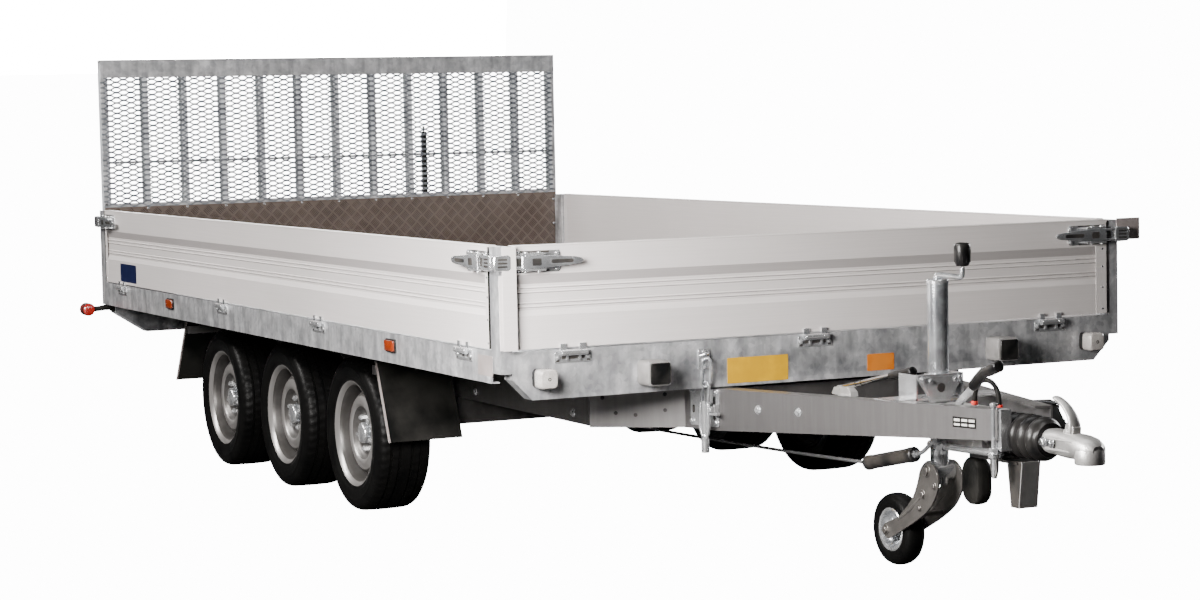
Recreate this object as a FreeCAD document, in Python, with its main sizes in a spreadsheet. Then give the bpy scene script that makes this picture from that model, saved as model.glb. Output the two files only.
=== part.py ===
"""Three-axle drop-side trailer with a ramp tailgate and a tilting bed, in millimetres.

X runs forward to the coupling, Y to the trailer's left, Z up from the ground.
Lengths below are measured from the bed's front face, and BED moves that face so that
the origin lies under the middle of the whole trailer.
"""
import FreeCAD, Part
import os
import re
import Sketcher
from FreeCAD import Placement, Rotation, Vector

SIZES = {
    # Bed: outer size, floor and panels.
    "bed_length": 4160, "bed_width": 2150, "floor_top": 650, "floor_thick": 18,
    "sheet_thick": 4, "panel_height": 298, "panel_thick": 25, "panel_lift": 6, "panel_gap": 5,
    "post_long": 70, "post_wide": 35, "post_top": 952, "front_post_low": 588, "rear_post_low": 557,
    # Panel profile: heights above its lower edge, and the depth of its middle band.
    "band_low": 95, "band_slope_low": 17, "band_slope_high": 27, "band_high": 214,
    "band_depth": 8, "ridge_high": 3, "ridge_wide": 6, "chamber_wall": 3,
    "ridge_first": 9, "ridge_second": 20, "ridge_third": 24, "ridge_fourth": 11, "ridge_flat": 1,
    # Bed frame.
    "beam_depth": 60, "front_beam_low": 509, "front_bevel": 60, "rear_beam_low": 435,
    "rear_bevel_wide": 135, "rear_bevel_high": 86, "rail_low": 557, "rail_flange": 35,
    "rail_lip": 24, "runner_width": 68, "runner_low": 535, "runner_middle": 606,
    "runner_front": 74, "runner_cap": 6, "cross_width": 50,
    "cross_first": 400, "cross_pitch": 370,
    # Drop-side hinges.
    "hinge_drop": 9, "hinge_reach": 12, "knuckle_radius": 9, "pin_radius": 5,
    "pin_gap": 0.05, "knuckle_length": 40, "knuckle_side": 20, "knuckle_space": 1,
    "strap_thick": 6, "strap_height": 14, "side_hinge_end": 266, "side_hinge_inner": 1505,
    "side_hinge_rear_inner": 2536, "side_hinge_rear": 3847, "front_hinge_end": 850,
    "front_hinge_middle": 43, "front_hinge_left": 813,
    # Over-centre latches of the panels.
    "latch_height": 907, "latch_plate_length": 165, "latch_plate_height": 64,
    "latch_plate_in": 1, "latch_lever_thick": 14, "latch_lever_height": 36, "latch_grip": 222,
    "latch_post_length": 50, "latch_post_height": 20, "latch_over": 65, "latch_standoff": 14,
    # Tailgate.
    "gate_gap": 5, "gate_depth": 45, "gate_skin": 3, "gate_half": 1050, "gate_low": 655,
    "gate_top": 1583, "gate_lip": 75, "gate_plate_top": 970, "gate_bar": 30, "gate_foot": 45,
    "rib_width": 25, "rib_pitch": 172, "gate_axis_drop": 15, "gate_axis_in": 2,
    "gate_knuckle": 12, "gate_pin": 8, "gate_hinge_width": 40, "gate_hinge_side": 25,
    "gate_hinge_inner": 300, "gate_hinge_outer": 900,
    # Lamps and plates.
    "lamp_side": 58, "lamp_reach": 60, "lamp_middle": 952, "lamp_height": 572,
    "marker_length": 79, "marker_height": 42, "marker_low": 592, "marker_thick": 14,
    "marker_front": 848, "marker_rear": 3180, "tail_lamp_length": 230, "tail_lamp_height": 110,
    "tail_lamp_thick": 35, "tail_lamp_low": 452, "tail_lamp_middle": 760,
    "arm_root": 1027, "arm_reach": 75, "arm_height": 540, "arm_thick": 24,
    "lens_radius": 27, "lens_length": 60, "plate_length": 520, "plate_height": 110,
    "plate_thick": 3, "corner_plate_length": 90, "corner_plate_height": 70,
    "corner_plate_low": 887,
    # Chassis: tapered drawbar arms and the rails behind them.
    "nose_reach": 1359, "arm_front": 1030, "arm_front_half": 90, "arm_root_half": 387,
    "arm_low_root": 380, "arm_top_root": 505, "arm_low_front": 433, "arm_top_front": 516,
    "arm_web": 6, "arm_flange": 50, "arm_bare": 150, "chassis_outer": 663, "chassis_width": 60,
    "chassis_low": 385, "arm_back": 125, "console_back": 292, "console_low": 380, "chassis_end": 3450,
    "tie_depth": 100, "tie_height": 95, "first_tie": 310, "second_tie": 1000, "third_tie": 1800,
    "fourth_tie": 2500, "last_tie": 3250, "arm_tie_back": 100, "arm_tie_size": 70, "arm_tie_slack": 2,
    "first_pad": 330, "middle_pad": 1300, "last_pad": 2300, "pad_length": 120, "pad_slack": 0.5,
    # Bed pivot.
    "pivot_back": 3350, "pivot_height": 520, "pivot_pin": 10, "pivot_ear": 14,
    "pivot_ear_thick": 10, "pivot_lug_thick": 20,
    # Wheels and axles.
    "axle_first": 1509, "axle_pitch": 700, "wheel_middle": 874.5, "tyre_radius": 262.5,
    "tyre_width": 195, "bead_radius": 168, "bead_gap": 0.4, "rim_wall": 7, "rim_well": 74,
    "rim_flange": 12, "disc_out": 55, "disc_thick": 6, "dish_radius": 128, "hub_radius": 50,
    "stub_radius": 22, "stub_gap": 0.05, "drum_radius": 115, "drum_in": 95, "drum_length": 70,
    "axle_half": 655, "axle_side": 84, "axle_ahead": 160, "axle_rise": 72, "swing_thick": 32,
    "swing_side": 60,
    # Mudflaps.
    "flap_inner": 697, "flap_width": 260, "flap_thick": 6, "flap_lead": 204, "flap_lean": 108,
    "flap_drop": 259, "flap_top": 522, "flap_rear": 471, "flap_rear_lean": 151,
    "flap_rear_drop": 243, "flap_bar": 30, "flap_bar_down": 15,
    # Coupling and overrun tube.
    "coupling_height": 440, "tube_radius": 30, "housing_start": 680, "bellows_back": 940,
    "bellows_front": 1150, "bellows_radius": 62, "bellows_neck": 48, "housing_back": 900,
    "housing_half": 55, "housing_top": 500, "housing_low": 380, "ball_back": 40,
    "ball_radius": 25, "cup_gap": 0.6, "cup_wall": 12, "cup_drop": 10, "neck_radius": 32,
    # Jockey wheel.
    "jockey_front": 610, "jockey_tube_radius": 30, "jockey_tube_wall": 3, "jockey_tube_low": 442,
    "jockey_tube_top": 841, "leg_radius": 26, "leg_low": 262, "leg_top": 640,
    "bracket_half": 50, "bracket_low": 514, "bracket_top": 574, "bracket_deep": 90,
    "crank_top": 858, "crank_reach": 127, "crank_bar": 14, "knob_radius": 24, "knob_top": 948,
    "fork_pivot_height": 300, "fork_inner": 38, "fork_plate": 6, "fork_pin": 9,
    "jockey_wheel_back": 220, "jockey_radius": 105, "jockey_width": 65, "jockey_bead": 62,
    "jockey_axle": 8, "jockey_side_gap": 2,
    # Tilt cylinder.
    "cylinder_foot": 470, "cylinder_foot_height": 440, "cylinder_eye": 1115, "cylinder_eye_height": 574,
    "cylinder_radius": 30, "cylinder_length": 430, "cylinder_rod": 16, "cylinder_slack": 0.5,
    "cylinder_neck": 57,
    "eye_radius": 20, "eye_width": 30, "eye_pin": 10, "eye_side_gap": 7, "ear_thick": 8,
    # Brake gear, pump, hold-down latch and small fittings.
    "brake_side": 82, "brake_radius": 22, "brake_back": 359, "brake_back_height": 300,
    "brake_front": 612, "brake_front_height": 352, "rod_radius": 5, "rod_back": 1180, "rod_back_height": 262,
    "pump_arm_short": 82, "pump_side": 82, "pump_front": 245, "pump_top": 492, "pump_deep": 70,
    "pump_radius": 22,
    "pump_head_back": 40, "pump_head_long": 62, "pump_head_wide": 20, "pump_head_high": 14,
    "pump_arm_wide": 40,
    "pump_arm_thick": 8, "pump_arm_up": 10, "lever_back": 30, "lever_rise": 8,
    "lever_radius": 7, "lever_front": 490, "lever_front_height": 566, "grip_radius": 14,
    "grip_front": 610, "grip_front_height": 588, "latch_bar": 24, "latch_plate_low": 391,
    "latch_plate_high": 502, "hold_plate_length": 120, "hold_plate_in": 5, "hold_lever_low": 317,
    "hold_body_back": 22, "hold_body_thick": 20, "hold_body_up": 60, "hold_body_high": 100,
    "hold_foot_back": 10,
    "hold_foot_radius": 8, "hold_foot_length": 62, "chain_in": 18, "chain_ahead": 12, "chain_top": 588,
    "chain_radius": 9, "chock_length": 160, "chock_width": 80, "chock_height": 75, "chock_low": 432,
    "chock_start": 830, "prop_low": 246, "prop_side": 60, "prop_wall": 5, "prop_front": 1040,
    "nose_plate_low": 364, "nose_plate_high": 372, "nose_bolt_radius": 8, "hose_back": 790,
    "hose_middle": 850, "hose_front": 910, "hose_top": 578, "hose_radius": 7,
}

doc = FreeCAD.newDocument("Trailer")
sheet = doc.addObject("Spreadsheet::Sheet", "Dim")
for row, (alias, value) in enumerate(SIZES.items(), start=1):
    sheet.set("A%d" % row, alias)
    sheet.set("B%d" % row, str(value))
    sheet.setAlias("B%d" % row, alias)
doc.recompute()

NODES = []

# Derived levels and edges, each an expression over the sheet.
REAR = "(bed_length+gate_gap+gate_depth-gate_axis_in+gate_knuckle)"
BED = "(%s-nose_reach)/2" % REAR
HALF = "bed_width/2"
PANEL_LOW = "(floor_top+panel_lift)"
INNER_HALF = "(bed_width/2-post_wide)"
ARM_TIP = "(bed_width/2+arm_reach)"
CROSS_HEIGHT = "(floor_top-floor_thick-runner_low-runner_width)"
RUNNER_TOP = "(runner_low+runner_width)"
CHASSIS_TOP = "arm_top_root"
GATE_INNER = "(bed_length+gate_gap)"
GATE_AXIS = "(bed_length+gate_gap+gate_depth-gate_axis_in)"
GATE_AXIS_Z = "(gate_low-gate_axis_drop)"
HINGE_Z = "(floor_top-hinge_drop)"


def bind(text):
    """The expression with each alias written as the sheet's own cell."""
    return re.sub(r"[a-z][a-z_]*", lambda word: "Dim." + word[0] if word[0] in SIZES else word[0], text)


def number(text):
    return float(sheet.evalExpression(bind(text)))


def place(part, at, axis=(0, 0, 1), turn=0, world=True):
    """Sets the Placement by expression; X is measured from the bed's front face."""
    part.Placement = Placement(Vector(), Rotation(Vector(*axis),
                                                  turn if isinstance(turn, (int, float)) else 1))
    x, y, z = at
    if world:
        x = "%s+(%s)" % (BED, x)
    for key, text in zip("xyz", (x, y, z)):
        part.setExpression("Placement.Base." + key, bind(text))
    if not isinstance(turn, (int, float)):
        part.setExpression("Placement.Rotation.Angle", bind(turn))
    return part


def box(name, low, size, world=True):
    """A block from its low corner."""
    part = doc.addObject("Part::Box", name)
    for key, text in zip(("Length", "Width", "Height"), size):
        part.setExpression(key, bind(text))
    return place(part, low, world=world)


TURNS = {"x": ((0, 1, 0), 90), "y": ((1, 0, 0), -90), "z": ((0, 0, 1), 0)}


def rod(name, start, radius, length, along, world=True):
    """A cylinder from the middle of its first end."""
    part = doc.addObject("Part::Cylinder", name)
    part.setExpression("Radius", bind(radius))
    part.setExpression("Height", bind(length))
    axis, turn = TURNS[along]
    return place(part, start, axis, turn, world)


def slanted(name, start, end, radius, side):
    """A round bar in an XZ plane between two (x, z) points."""
    run, rise = "((%s)-(%s))" % (end[0], start[0]), "((%s)-(%s))" % (end[1], start[1])
    part = doc.addObject("Part::Cylinder", name)
    part.setExpression("Radius", bind(radius))
    part.setExpression("Height", bind("sqrt(%s^2+%s^2)" % (run, rise)))
    return place(part, (start[0], side, start[1]), (0, 1, 0), "atan2(%s; %s)" % (run, rise))


def join(name, *pieces):
    part = doc.addObject("Part::MultiFuse", name)
    part.Shapes = list(pieces)
    return part


def cut(name, base, *tools):
    part = doc.addObject("Part::Cut", name)
    part.Base = base
    part.Tool = tools[0] if len(tools) == 1 else join(name + "_tools", *tools)
    return part


def group(name, *pieces):
    part = doc.addObject("Part::Compound", name)
    part.Links = list(pieces)
    return part


def copy(name, source, at, axis=(0, 0, 1), turn=0):
    return place(group(name, source), at, axis, turn)


def mirror(name, source):
    """The same piece on the trailer's other side."""
    part = doc.addObject("Part::Mirroring", name)
    part.Source = source
    part.Normal = Vector(0, 1, 0)
    return part


def both(name, source):
    return group(name, source, mirror(name + "_right", source))


def node(label, part):
    part.Label = label
    NODES.append(part)
    return part


def draw(sketch, points):
    """A closed polygon whose corners are bound to the sheet."""
    start = [Vector(number(x), number(y), 0) for x, y in points]
    lines = []
    for first, second in zip(start, start[1:] + start[:1]):
        lines.append(sketch.addGeometry(Part.LineSegment(first, second), False))
    for line, following in zip(lines, lines[1:] + lines[:1]):
        sketch.addConstraint(Sketcher.Constraint("Coincident", line, 2, following, 1))
    for line, vertex, (x, y) in zip(lines, start, points):
        for kind, text, value, axis in (("DistanceX", x, vertex.x, -2), ("DistanceY", y, vertex.y, -1)):
            if text == "0":
                sketch.addConstraint(Sketcher.Constraint("PointOnObject", line, 1, axis))
                continue
            index = sketch.addConstraint(Sketcher.Constraint(kind, -1, 1, line, 1, value))
            sketch.setExpression("Constraints[%d]" % index, bind(text))


def body_sketch(name, plane, outlines):
    body = doc.addObject("PartDesign::Body", name)
    sketch = body.newObject("Sketcher::SketchObject", name + "_sketch")
    base = [item for item in body.Origin.OriginFeatures if item.Role == plane + "_Plane"][0]
    sketch.AttachmentSupport = (base, [""])
    sketch.MapMode = "FlatFace"
    for outline in outlines:
        draw(sketch, outline)
    return body, sketch


def prism(name, plane, outline, depth, at, turn=0, holes=(), flip=False, world=True, axis=(0, 0, 1)):
    """A padded polygon. YZ pads run to +X, XZ pads to -Y and XY pads to +Z."""
    body, sketch = body_sketch(name, plane, [outline, *holes])
    pad = body.newObject("PartDesign::Pad", name + "_pad")
    pad.Profile = sketch
    pad.setExpression("Length", bind(depth))
    pad.Reversed = flip
    return place(body, at, axis, turn, world)


def spun(name, outline, at, along="y", world=True):
    """A polygon of (radius, distance) turned about its own axis, then laid along one."""
    body, sketch = body_sketch(name, "XZ", [outline])
    turned = body.newObject("PartDesign::Revolution", name + "_turned")
    turned.Profile = sketch
    turned.ReferenceAxis = (sketch, ["V_Axis"])
    turned.Angle = 360
    axis, turn = TURNS[along]
    return place(body, at, axis, turn, world)


# --- Bed frame -------------------------------------------------------------------------

def end_beam(name, low, bevel_wide, bevel_high, back, web_at):
    """A folded beam across the bed with bevelled lower corners, open on one side."""
    def outline(inset):
        side = "(%s-%s)" % (INNER_HALF, inset)
        bottom = "(%s+%s)" % (low, inset)
        top = "(floor_top-%s)" % inset
        knee = "(%s+%s)" % (low, bevel_high)
        toe = "(%s-%s)" % (INNER_HALF, bevel_wide)
        return [("-" + toe, bottom), (toe, bottom), (side, knee), (side, top), ("-" + side, top),
                ("-" + side, knee)]
    whole = prism(name + "_whole", "YZ", outline("0"), "beam_depth", (back, "0", "0"))
    hollow = prism(name + "_hollow", "YZ", outline("sheet_thick"), "beam_depth", (web_at, "0", "0"))
    return whole, hollow


def runner_hole(name, sign):
    return box(name, ("-beam_depth-1", "%s*runner_middle-runner_width/2" % sign, "runner_low"),
               ("beam_depth+2", "runner_width", "runner_width"))


whole, hollow = end_beam("front_beam_raw", "front_beam_low", "front_bevel", "front_bevel",
                         "-beam_depth", "-beam_depth-sheet_thick")
node("front_beam", cut("front_beam_piece", whole, hollow, runner_hole("runner_hole_left", "1"),
                       runner_hole("runner_hole_right", "-1")))

whole, hollow = end_beam("rear_beam_raw", "rear_beam_low", "rear_bevel_wide", "rear_bevel_high",
                         "-bed_length", "-bed_length+sheet_thick")
rear_channel = cut("rear_channel", whole, hollow)


def gate_lug(name, middle):
    """A fixed knuckle that stands out of the rear beam."""
    bar = box(name + "_bar", ("-" + GATE_AXIS, "%s-gate_hinge_width/2" % middle,
                              GATE_AXIS_Z + "-gate_knuckle"),
              (GATE_AXIS + "-bed_length", "gate_hinge_width", "gate_knuckle*2"))
    eye = rod(name + "_eye", ("-" + GATE_AXIS, "%s-gate_hinge_width/2" % middle, GATE_AXIS_Z),
              "gate_knuckle", "gate_hinge_width", "y")
    bore = rod(name + "_bore", ("-" + GATE_AXIS, "%s-gate_hinge_width/2-1" % middle, GATE_AXIS_Z),
               "gate_pin+pin_gap", "gate_hinge_width+2", "y")
    return cut(name, join(name + "_solid", bar, eye), bore)


# Cutting shapes run 1 mm past the faces that they cut.
GATE_HINGES = ("-gate_hinge_outer", "-gate_hinge_inner", "gate_hinge_inner", "gate_hinge_outer")
lugs = [gate_lug("gate_lug_%d" % index, middle) for index, middle in enumerate(GATE_HINGES)]
node("rear_beam", join("rear_beam_piece", rear_channel, *lugs))


def side_rail(name):
    """The left rim of the bed: a channel with its web outside and a lip below."""
    outline = [(HALF, "rail_low"), (HALF, "floor_top"), (INNER_HALF, "floor_top"),
               (INNER_HALF, "floor_top-sheet_thick"), (HALF + "-sheet_thick", "floor_top-sheet_thick"),
               (HALF + "-sheet_thick", "rail_low+sheet_thick"), (HALF + "-rail_lip", "rail_low+sheet_thick"),
               (HALF + "-rail_lip", "rail_low")]
    return prism(name, "YZ", outline, "bed_length-post_long*2", ("-bed_length+post_long", "0", "0"))


node("side_rails", both("side_rails_pair", side_rail("side_rail_left")))


def runner(name):
    """The left lengthwise box tube of the bed, with its half of the pivot."""
    side = "runner_middle-runner_width/2"
    length = "bed_length-sheet_thick+runner_front"
    outer = box(name + "_outer", ("-bed_length+sheet_thick", side, "runner_low"),
                (length, "runner_width", "runner_width"))
    inner = box(name + "_inner", ("-bed_length+sheet_thick-1", side + "+sheet_thick",
                                  "runner_low+sheet_thick"),
                (length + "+2", "runner_width-sheet_thick*2", "runner_width-sheet_thick*2"))
    middle = "(chassis_outer-chassis_width/2)"
    lug = box(name + "_lug", ("-pivot_back-pivot_ear", middle + "-pivot_lug_thick/2", "pivot_height"),
              ("pivot_ear*2", "pivot_lug_thick", "runner_low-pivot_height"))
    eye = rod(name + "_eye", ("-pivot_back", middle + "-pivot_lug_thick/2", "pivot_height"), "pivot_ear",
              "pivot_lug_thick", "y")
    pin = rod(name + "_pin", ("-pivot_back", middle + "-pivot_lug_thick/2-pivot_ear_thick-2", "pivot_height"),
              "pivot_pin", "pivot_lug_thick+pivot_ear_thick*2+4", "y")
    return join(name, cut(name + "_tube", outer, inner), lug, eye, pin)


node("bed_runners", both("bed_runners_pair", runner("runner_left")))

cap = box("cap_left", ("runner_front", "runner_middle-runner_width/2", "runner_low"),
          ("runner_cap", "runner_width", "runner_width"))
node("runner_caps", both("runner_caps_pair", cap))


def bed_cross(index):
    """An open channel across the bed, over the runners and under the floor."""
    wide, high, wall = "cross_width", CROSS_HEIGHT, "sheet_thick"
    outline = [("0", "0"), (wide, "0"), (wide, wall), (wall, wall), (wall, high + "-" + wall),
               (wide, high + "-" + wall), (wide, high), ("0", high)]
    return prism("bed_cross_%d" % index, "XZ", outline, "bed_width-sheet_thick*2",
                 ("-cross_first-cross_pitch*%d" % index, HALF + "-sheet_thick", RUNNER_TOP))


CROSS_COUNT = 10
crosses = [bed_cross(index) for index in range(CROSS_COUNT)]


def eye_ear(name, side_low):
    """One of the two ears under a crossmember that hold the tilt cylinder's eye."""
    return box(name, ("-cylinder_eye-eye_radius", side_low, "cylinder_eye_height-eye_radius"),
               ("eye_radius*2", "ear_thick", "%s+1-cylinder_eye_height+eye_radius" % RUNNER_TOP))


crosses[2] = join("eye_cross", crosses[2], eye_ear("eye_ear_left", "eye_width/2+eye_side_gap"),
                  eye_ear("eye_ear_right", "-eye_width/2-eye_side_gap-ear_thick"))
node("bed_crossmembers", group("bed_crossmembers_set", *crosses))

node("floor", box("floor_board", ("-bed_length+beam_depth", "-" + INNER_HALF, "floor_top-floor_thick"),
                  ("bed_length-beam_depth*2", INNER_HALF + "*2", "floor_thick")))

front_post = box("front_post_left", ("-post_long", INNER_HALF, "front_post_low"),
                 ("post_long", "post_wide", "post_top-front_post_low"))
rear_post = box("rear_post_left", ("-bed_length", INNER_HALF, "rear_post_low"),
                ("post_long", "post_wide", "post_top-rear_post_low"))
node("corner_posts", both("corner_posts_set", group("left_posts", front_post, rear_post)))

# --- Drop-side hinges and latches -------------------------------------------------------
# A hinge's own frame has its pin along X, Y outward and Z up, with the pin's middle at zero.

fixed_block = box("fixed_block", ("-knuckle_length/2", "-hinge_reach", "-knuckle_radius"),
                  ("knuckle_length", "hinge_reach", "knuckle_radius*2"), world=False)
fixed_eye = rod("fixed_eye", ("-knuckle_length/2", "0", "0"), "knuckle_radius", "knuckle_length", "x",
                world=False)
fixed_bore = rod("fixed_bore", ("-knuckle_length/2-1", "0", "0"), "pin_radius+pin_gap", "knuckle_length+2",
                 "x", world=False)
fixed_half = cut("fixed_half", join("fixed_solid", fixed_block, fixed_eye), fixed_bore)

SIDE_START = "(knuckle_length/2+knuckle_space)"


def moving_side(name, low):
    """One outer knuckle with the strap that climbs the panel's face."""
    rise = "(hinge_drop+panel_lift+1)"
    eye = rod(name + "_eye", (low, "0", "0"), "knuckle_radius", "knuckle_side", "x", world=False)
    web = box(name + "_web", (low, "-hinge_reach+strap_thick-1", "0"),
              ("knuckle_side", "hinge_reach-strap_thick+1", rise + "+4"), world=False)
    strap = box(name + "_strap", (low, "-hinge_reach", rise),
                ("knuckle_side", "strap_thick", "strap_height"), world=False)
    return eye, web, strap


moving_pin = rod("moving_pin", ("-%s-knuckle_side" % SIDE_START, "0", "0"), "pin_radius",
                 "(%s+knuckle_side)*2" % SIDE_START, "x", world=False)
moving_half = join("moving_half", moving_pin, *moving_side("moving_near", "-%s-knuckle_side" % SIDE_START),
                   *moving_side("moving_far", SIDE_START))

latch_plate = box("latch_plate", ("panel_gap+latch_plate_in", "0", "-latch_plate_height/2"),
                  ("latch_plate_length", "sheet_thick", "latch_plate_height"), world=False)
latch_post = box("latch_post", ("latch_plate_length/4", "0", "-latch_post_height/2"),
                 ("latch_post_length", "latch_standoff+1", "latch_post_height"), world=False)
latch_lever = box("latch_lever", ("-latch_over", "latch_standoff", "-latch_lever_height/2"),
                  ("latch_over+latch_grip", "latch_lever_thick", "latch_lever_height"), world=False)
latch = join("latch", latch_plate, latch_post, latch_lever)

SIDE_HINGES = ("side_hinge_end", "side_hinge_inner", "side_hinge_rear_inner", "side_hinge_rear")
FRONT_HINGES = ("-front_hinge_end", "-front_hinge_middle", "front_hinge_left")
left_fixed = [copy("left_fixed_%d" % index, fixed_half, ("-" + back, HALF + "+hinge_reach", HINGE_Z))
              for index, back in enumerate(SIDE_HINGES)]
right_fixed = [mirror("right_fixed_%d" % index, item) for index, item in enumerate(left_fixed)]
front_fixed = [copy("front_fixed_%d" % index, fixed_half, ("hinge_reach", side, HINGE_Z), turn=-90)
               for index, side in enumerate(FRONT_HINGES)]
node("drop_side_hinges", group("drop_side_hinges_set", *left_fixed, *right_fixed, *front_fixed))


# --- Panels -----------------------------------------------------------------------------

def panel_outline():
    """The profile of a panel, with depth first: flat bands and a ribbed middle."""
    face, back = "panel_thick", "panel_thick-band_depth"
    points = [("0", "0"), (face, "0"), (face, "band_low"), (back, "band_low+band_slope_low")]
    ridge_heights = ("band_low+band_slope_low+ridge_first", "band_low+band_slope_low+ridge_second",
                     "band_high-band_slope_high-ridge_third", "band_high-band_slope_high-ridge_fourth")
    for height in ridge_heights:
        points += [(back, height + "-ridge_wide/2"), (back + "+ridge_high", height + "-ridge_flat"),
                   (back + "+ridge_high", height + "+ridge_flat"), (back, height + "+ridge_wide/2")]
    return points + [(back, "band_high-band_slope_high"), (face, "band_high"), (face, "panel_height"),
                     ("0", "panel_height")]


def chamber(low, high, depth):
    wall = "chamber_wall"
    return [(wall, low), (depth + "-" + wall, low), (depth + "-" + wall, high), (wall, high)]


def panel_chambers():
    wall, middle = "chamber_wall", "panel_thick-band_depth"
    return [chamber(wall, "band_low-" + wall, "panel_thick"),
            chamber("band_low", "band_high", middle),
            chamber("band_high+" + wall, "panel_height-" + wall, "panel_thick")]


side_panel = prism("left_panel_profile", "YZ", panel_outline(), "bed_length-post_long*2-panel_gap*2",
                   ("-bed_length+post_long+panel_gap", HALF + "-panel_thick", PANEL_LOW),
                   holes=panel_chambers())
node("left_panel", side_panel)
node("right_panel", mirror("right_panel_profile", side_panel))
node("front_panel", prism("front_panel_profile", "XZ", panel_outline(), "(%s-panel_gap-1)*2" % INNER_HALF,
                          ("-panel_thick", INNER_HALF + "-panel_gap-1", PANEL_LOW), holes=panel_chambers()))

left_moving = [copy("left_moving_%d" % index, moving_half, ("-" + back, HALF + "+hinge_reach", HINGE_Z))
               for index, back in enumerate(SIDE_HINGES)]
latch_front = copy("left_latch_front", mirror("latch_reversed", latch), ("-post_long", HALF, "latch_height"),
                   turn=180)
latch_rear = copy("left_latch_rear", latch, ("-bed_length+post_long", HALF, "latch_height"))
left_fittings = group("left_fittings_set", *left_moving, latch_front, latch_rear)
node("left_panel_fittings", left_fittings)
node("right_panel_fittings", mirror("right_fittings_set", left_fittings))

front_moving = [copy("front_moving_%d" % index, moving_half, ("hinge_reach", side, HINGE_Z), turn=-90)
                for index, side in enumerate(FRONT_HINGES)]
latch_left = copy("front_latch_left", latch, ("0", INNER_HALF, "latch_height"), turn=-90)
node("front_panel_fittings", group("front_fittings_set", *front_moving, latch_left,
                                   mirror("front_latch_right", latch_left)))


# --- Tailgate ---------------------------------------------------------------------------

def gate_bar(name, side_low, low, width, height):
    """A bar of the gate's frame, behind its skin."""
    return box(name, ("-%s-gate_depth" % GATE_INNER, side_low, low), ("gate_depth-gate_skin", width, height))


def gate_knuckle(name, middle, sign):
    low = "%s+gate_hinge_width/2+knuckle_space" % middle
    if sign < 0:
        low = "%s-gate_hinge_width/2-knuckle_space-gate_hinge_side" % middle
    eye = rod(name + "_eye", ("-" + GATE_AXIS, low, GATE_AXIS_Z), "gate_knuckle", "gate_hinge_side", "y")
    web = box(name + "_web", ("-%s-gate_axis_in" % GATE_AXIS, low, GATE_AXIS_Z),
              ("gate_knuckle+gate_axis_in", "gate_hinge_side", "gate_axis_drop+2"))
    return eye, web


gate_pieces = [gate_bar("gate_side_left", "gate_half-gate_bar", "gate_low", "gate_bar",
                        "gate_top-gate_lip-gate_low"),
               gate_bar("gate_side_right", "-gate_half", "gate_low", "gate_bar",
                        "gate_top-gate_lip-gate_low"),
               gate_bar("gate_foot_bar", "-gate_half", "gate_low", "gate_half*2", "gate_foot"),
               box("gate_lip_bar", ("-%s-gate_depth" % GATE_INNER, "-gate_half", "gate_top-gate_lip"),
                   ("gate_depth", "gate_half*2", "gate_lip"))]
for index in range(-5, 6):
    gate_pieces.append(gate_bar("gate_rib_%d" % (index + 5), "rib_pitch*(%d)-rib_width/2" % index, "gate_low",
                                "rib_width", "gate_top-gate_lip-gate_low"))
for index, middle in enumerate(GATE_HINGES):
    gate_pieces.append(rod("gate_pin_%d" % index,
                           ("-" + GATE_AXIS, "%s-gate_hinge_width/2-gate_hinge_side" % middle, GATE_AXIS_Z),
                           "gate_pin", "gate_hinge_width+gate_hinge_side*2", "y"))
    gate_pieces += gate_knuckle("gate_near_%d" % index, middle, -1)
    gate_pieces += gate_knuckle("gate_far_%d" % index, middle, 1)
node("tailgate_frame", join("tailgate_frame_piece", *gate_pieces))
node("tailgate_plate", box("gate_plate_sheet", ("-%s-gate_skin" % GATE_INNER, "-gate_half", "gate_low"),
                           ("gate_skin", "gate_half*2", "gate_plate_top-gate_low")))
node("tailgate_mesh", box("gate_mesh_sheet", ("-%s-gate_skin" % GATE_INNER, "-gate_half", "gate_plate_top"),
                          ("gate_skin", "gate_half*2", "gate_top-gate_lip-gate_plate_top")))

# --- Lamps and plates -------------------------------------------------------------------

marker_front = box("marker_front_left", ("-marker_front-marker_length/2", HALF, "marker_low"),
                   ("marker_length", "marker_thick", "marker_height"))
marker_rear = box("marker_rear_left", ("-marker_rear-marker_length/2", HALF, "marker_low"),
                  ("marker_length", "marker_thick", "marker_height"))
node("side_markers", both("side_markers_set", group("left_markers", marker_front, marker_rear)))

front_lamp = box("front_lamp_left", ("0", "lamp_middle-lamp_side/2", "lamp_height-lamp_side/2"),
                 ("lamp_reach", "lamp_side", "lamp_side"))
node("front_lamps", both("front_lamps_pair", front_lamp))

tail_lamp = box("tail_lamp_left", ("-bed_length-tail_lamp_thick", "tail_lamp_middle-tail_lamp_length/2",
                                   "tail_lamp_low"),
                ("tail_lamp_thick", "tail_lamp_length", "tail_lamp_height"))
node("tail_lamps", both("tail_lamps_pair", tail_lamp))

outline_arm = box("outline_arm_left", ("-bed_length+beam_depth/2-arm_thick/2", "%s" % INNER_HALF,
                                       "arm_height-arm_thick/2"),
                  ("arm_thick", ARM_TIP + "-" + INNER_HALF, "arm_thick"))
outline_lens = rod("outline_lens_left", ("-bed_length+beam_depth/2-lens_length/2", ARM_TIP, "arm_height"),
                   "lens_radius", "lens_length", "x")
node("outline_lamps", both("outline_lamps_pair", join("outline_lamp_left", outline_arm, outline_lens)))

number_plate = box("number_plate", ("-bed_length-plate_thick", "-plate_length/2", "tail_lamp_low"),
                   ("plate_thick", "plate_length", "plate_height"))
corner_plate = box("corner_plate", ("0", HALF + "-5", "corner_plate_low"),
                   ("plate_thick", "corner_plate_length", "corner_plate_height"))
node("blank_plates", group("blank_plates_set", number_plate, corner_plate))

# --- Chassis ----------------------------------------------------------------------------
# An arm's own frame starts at its root on the bed's front line, with X along the arm.

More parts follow.
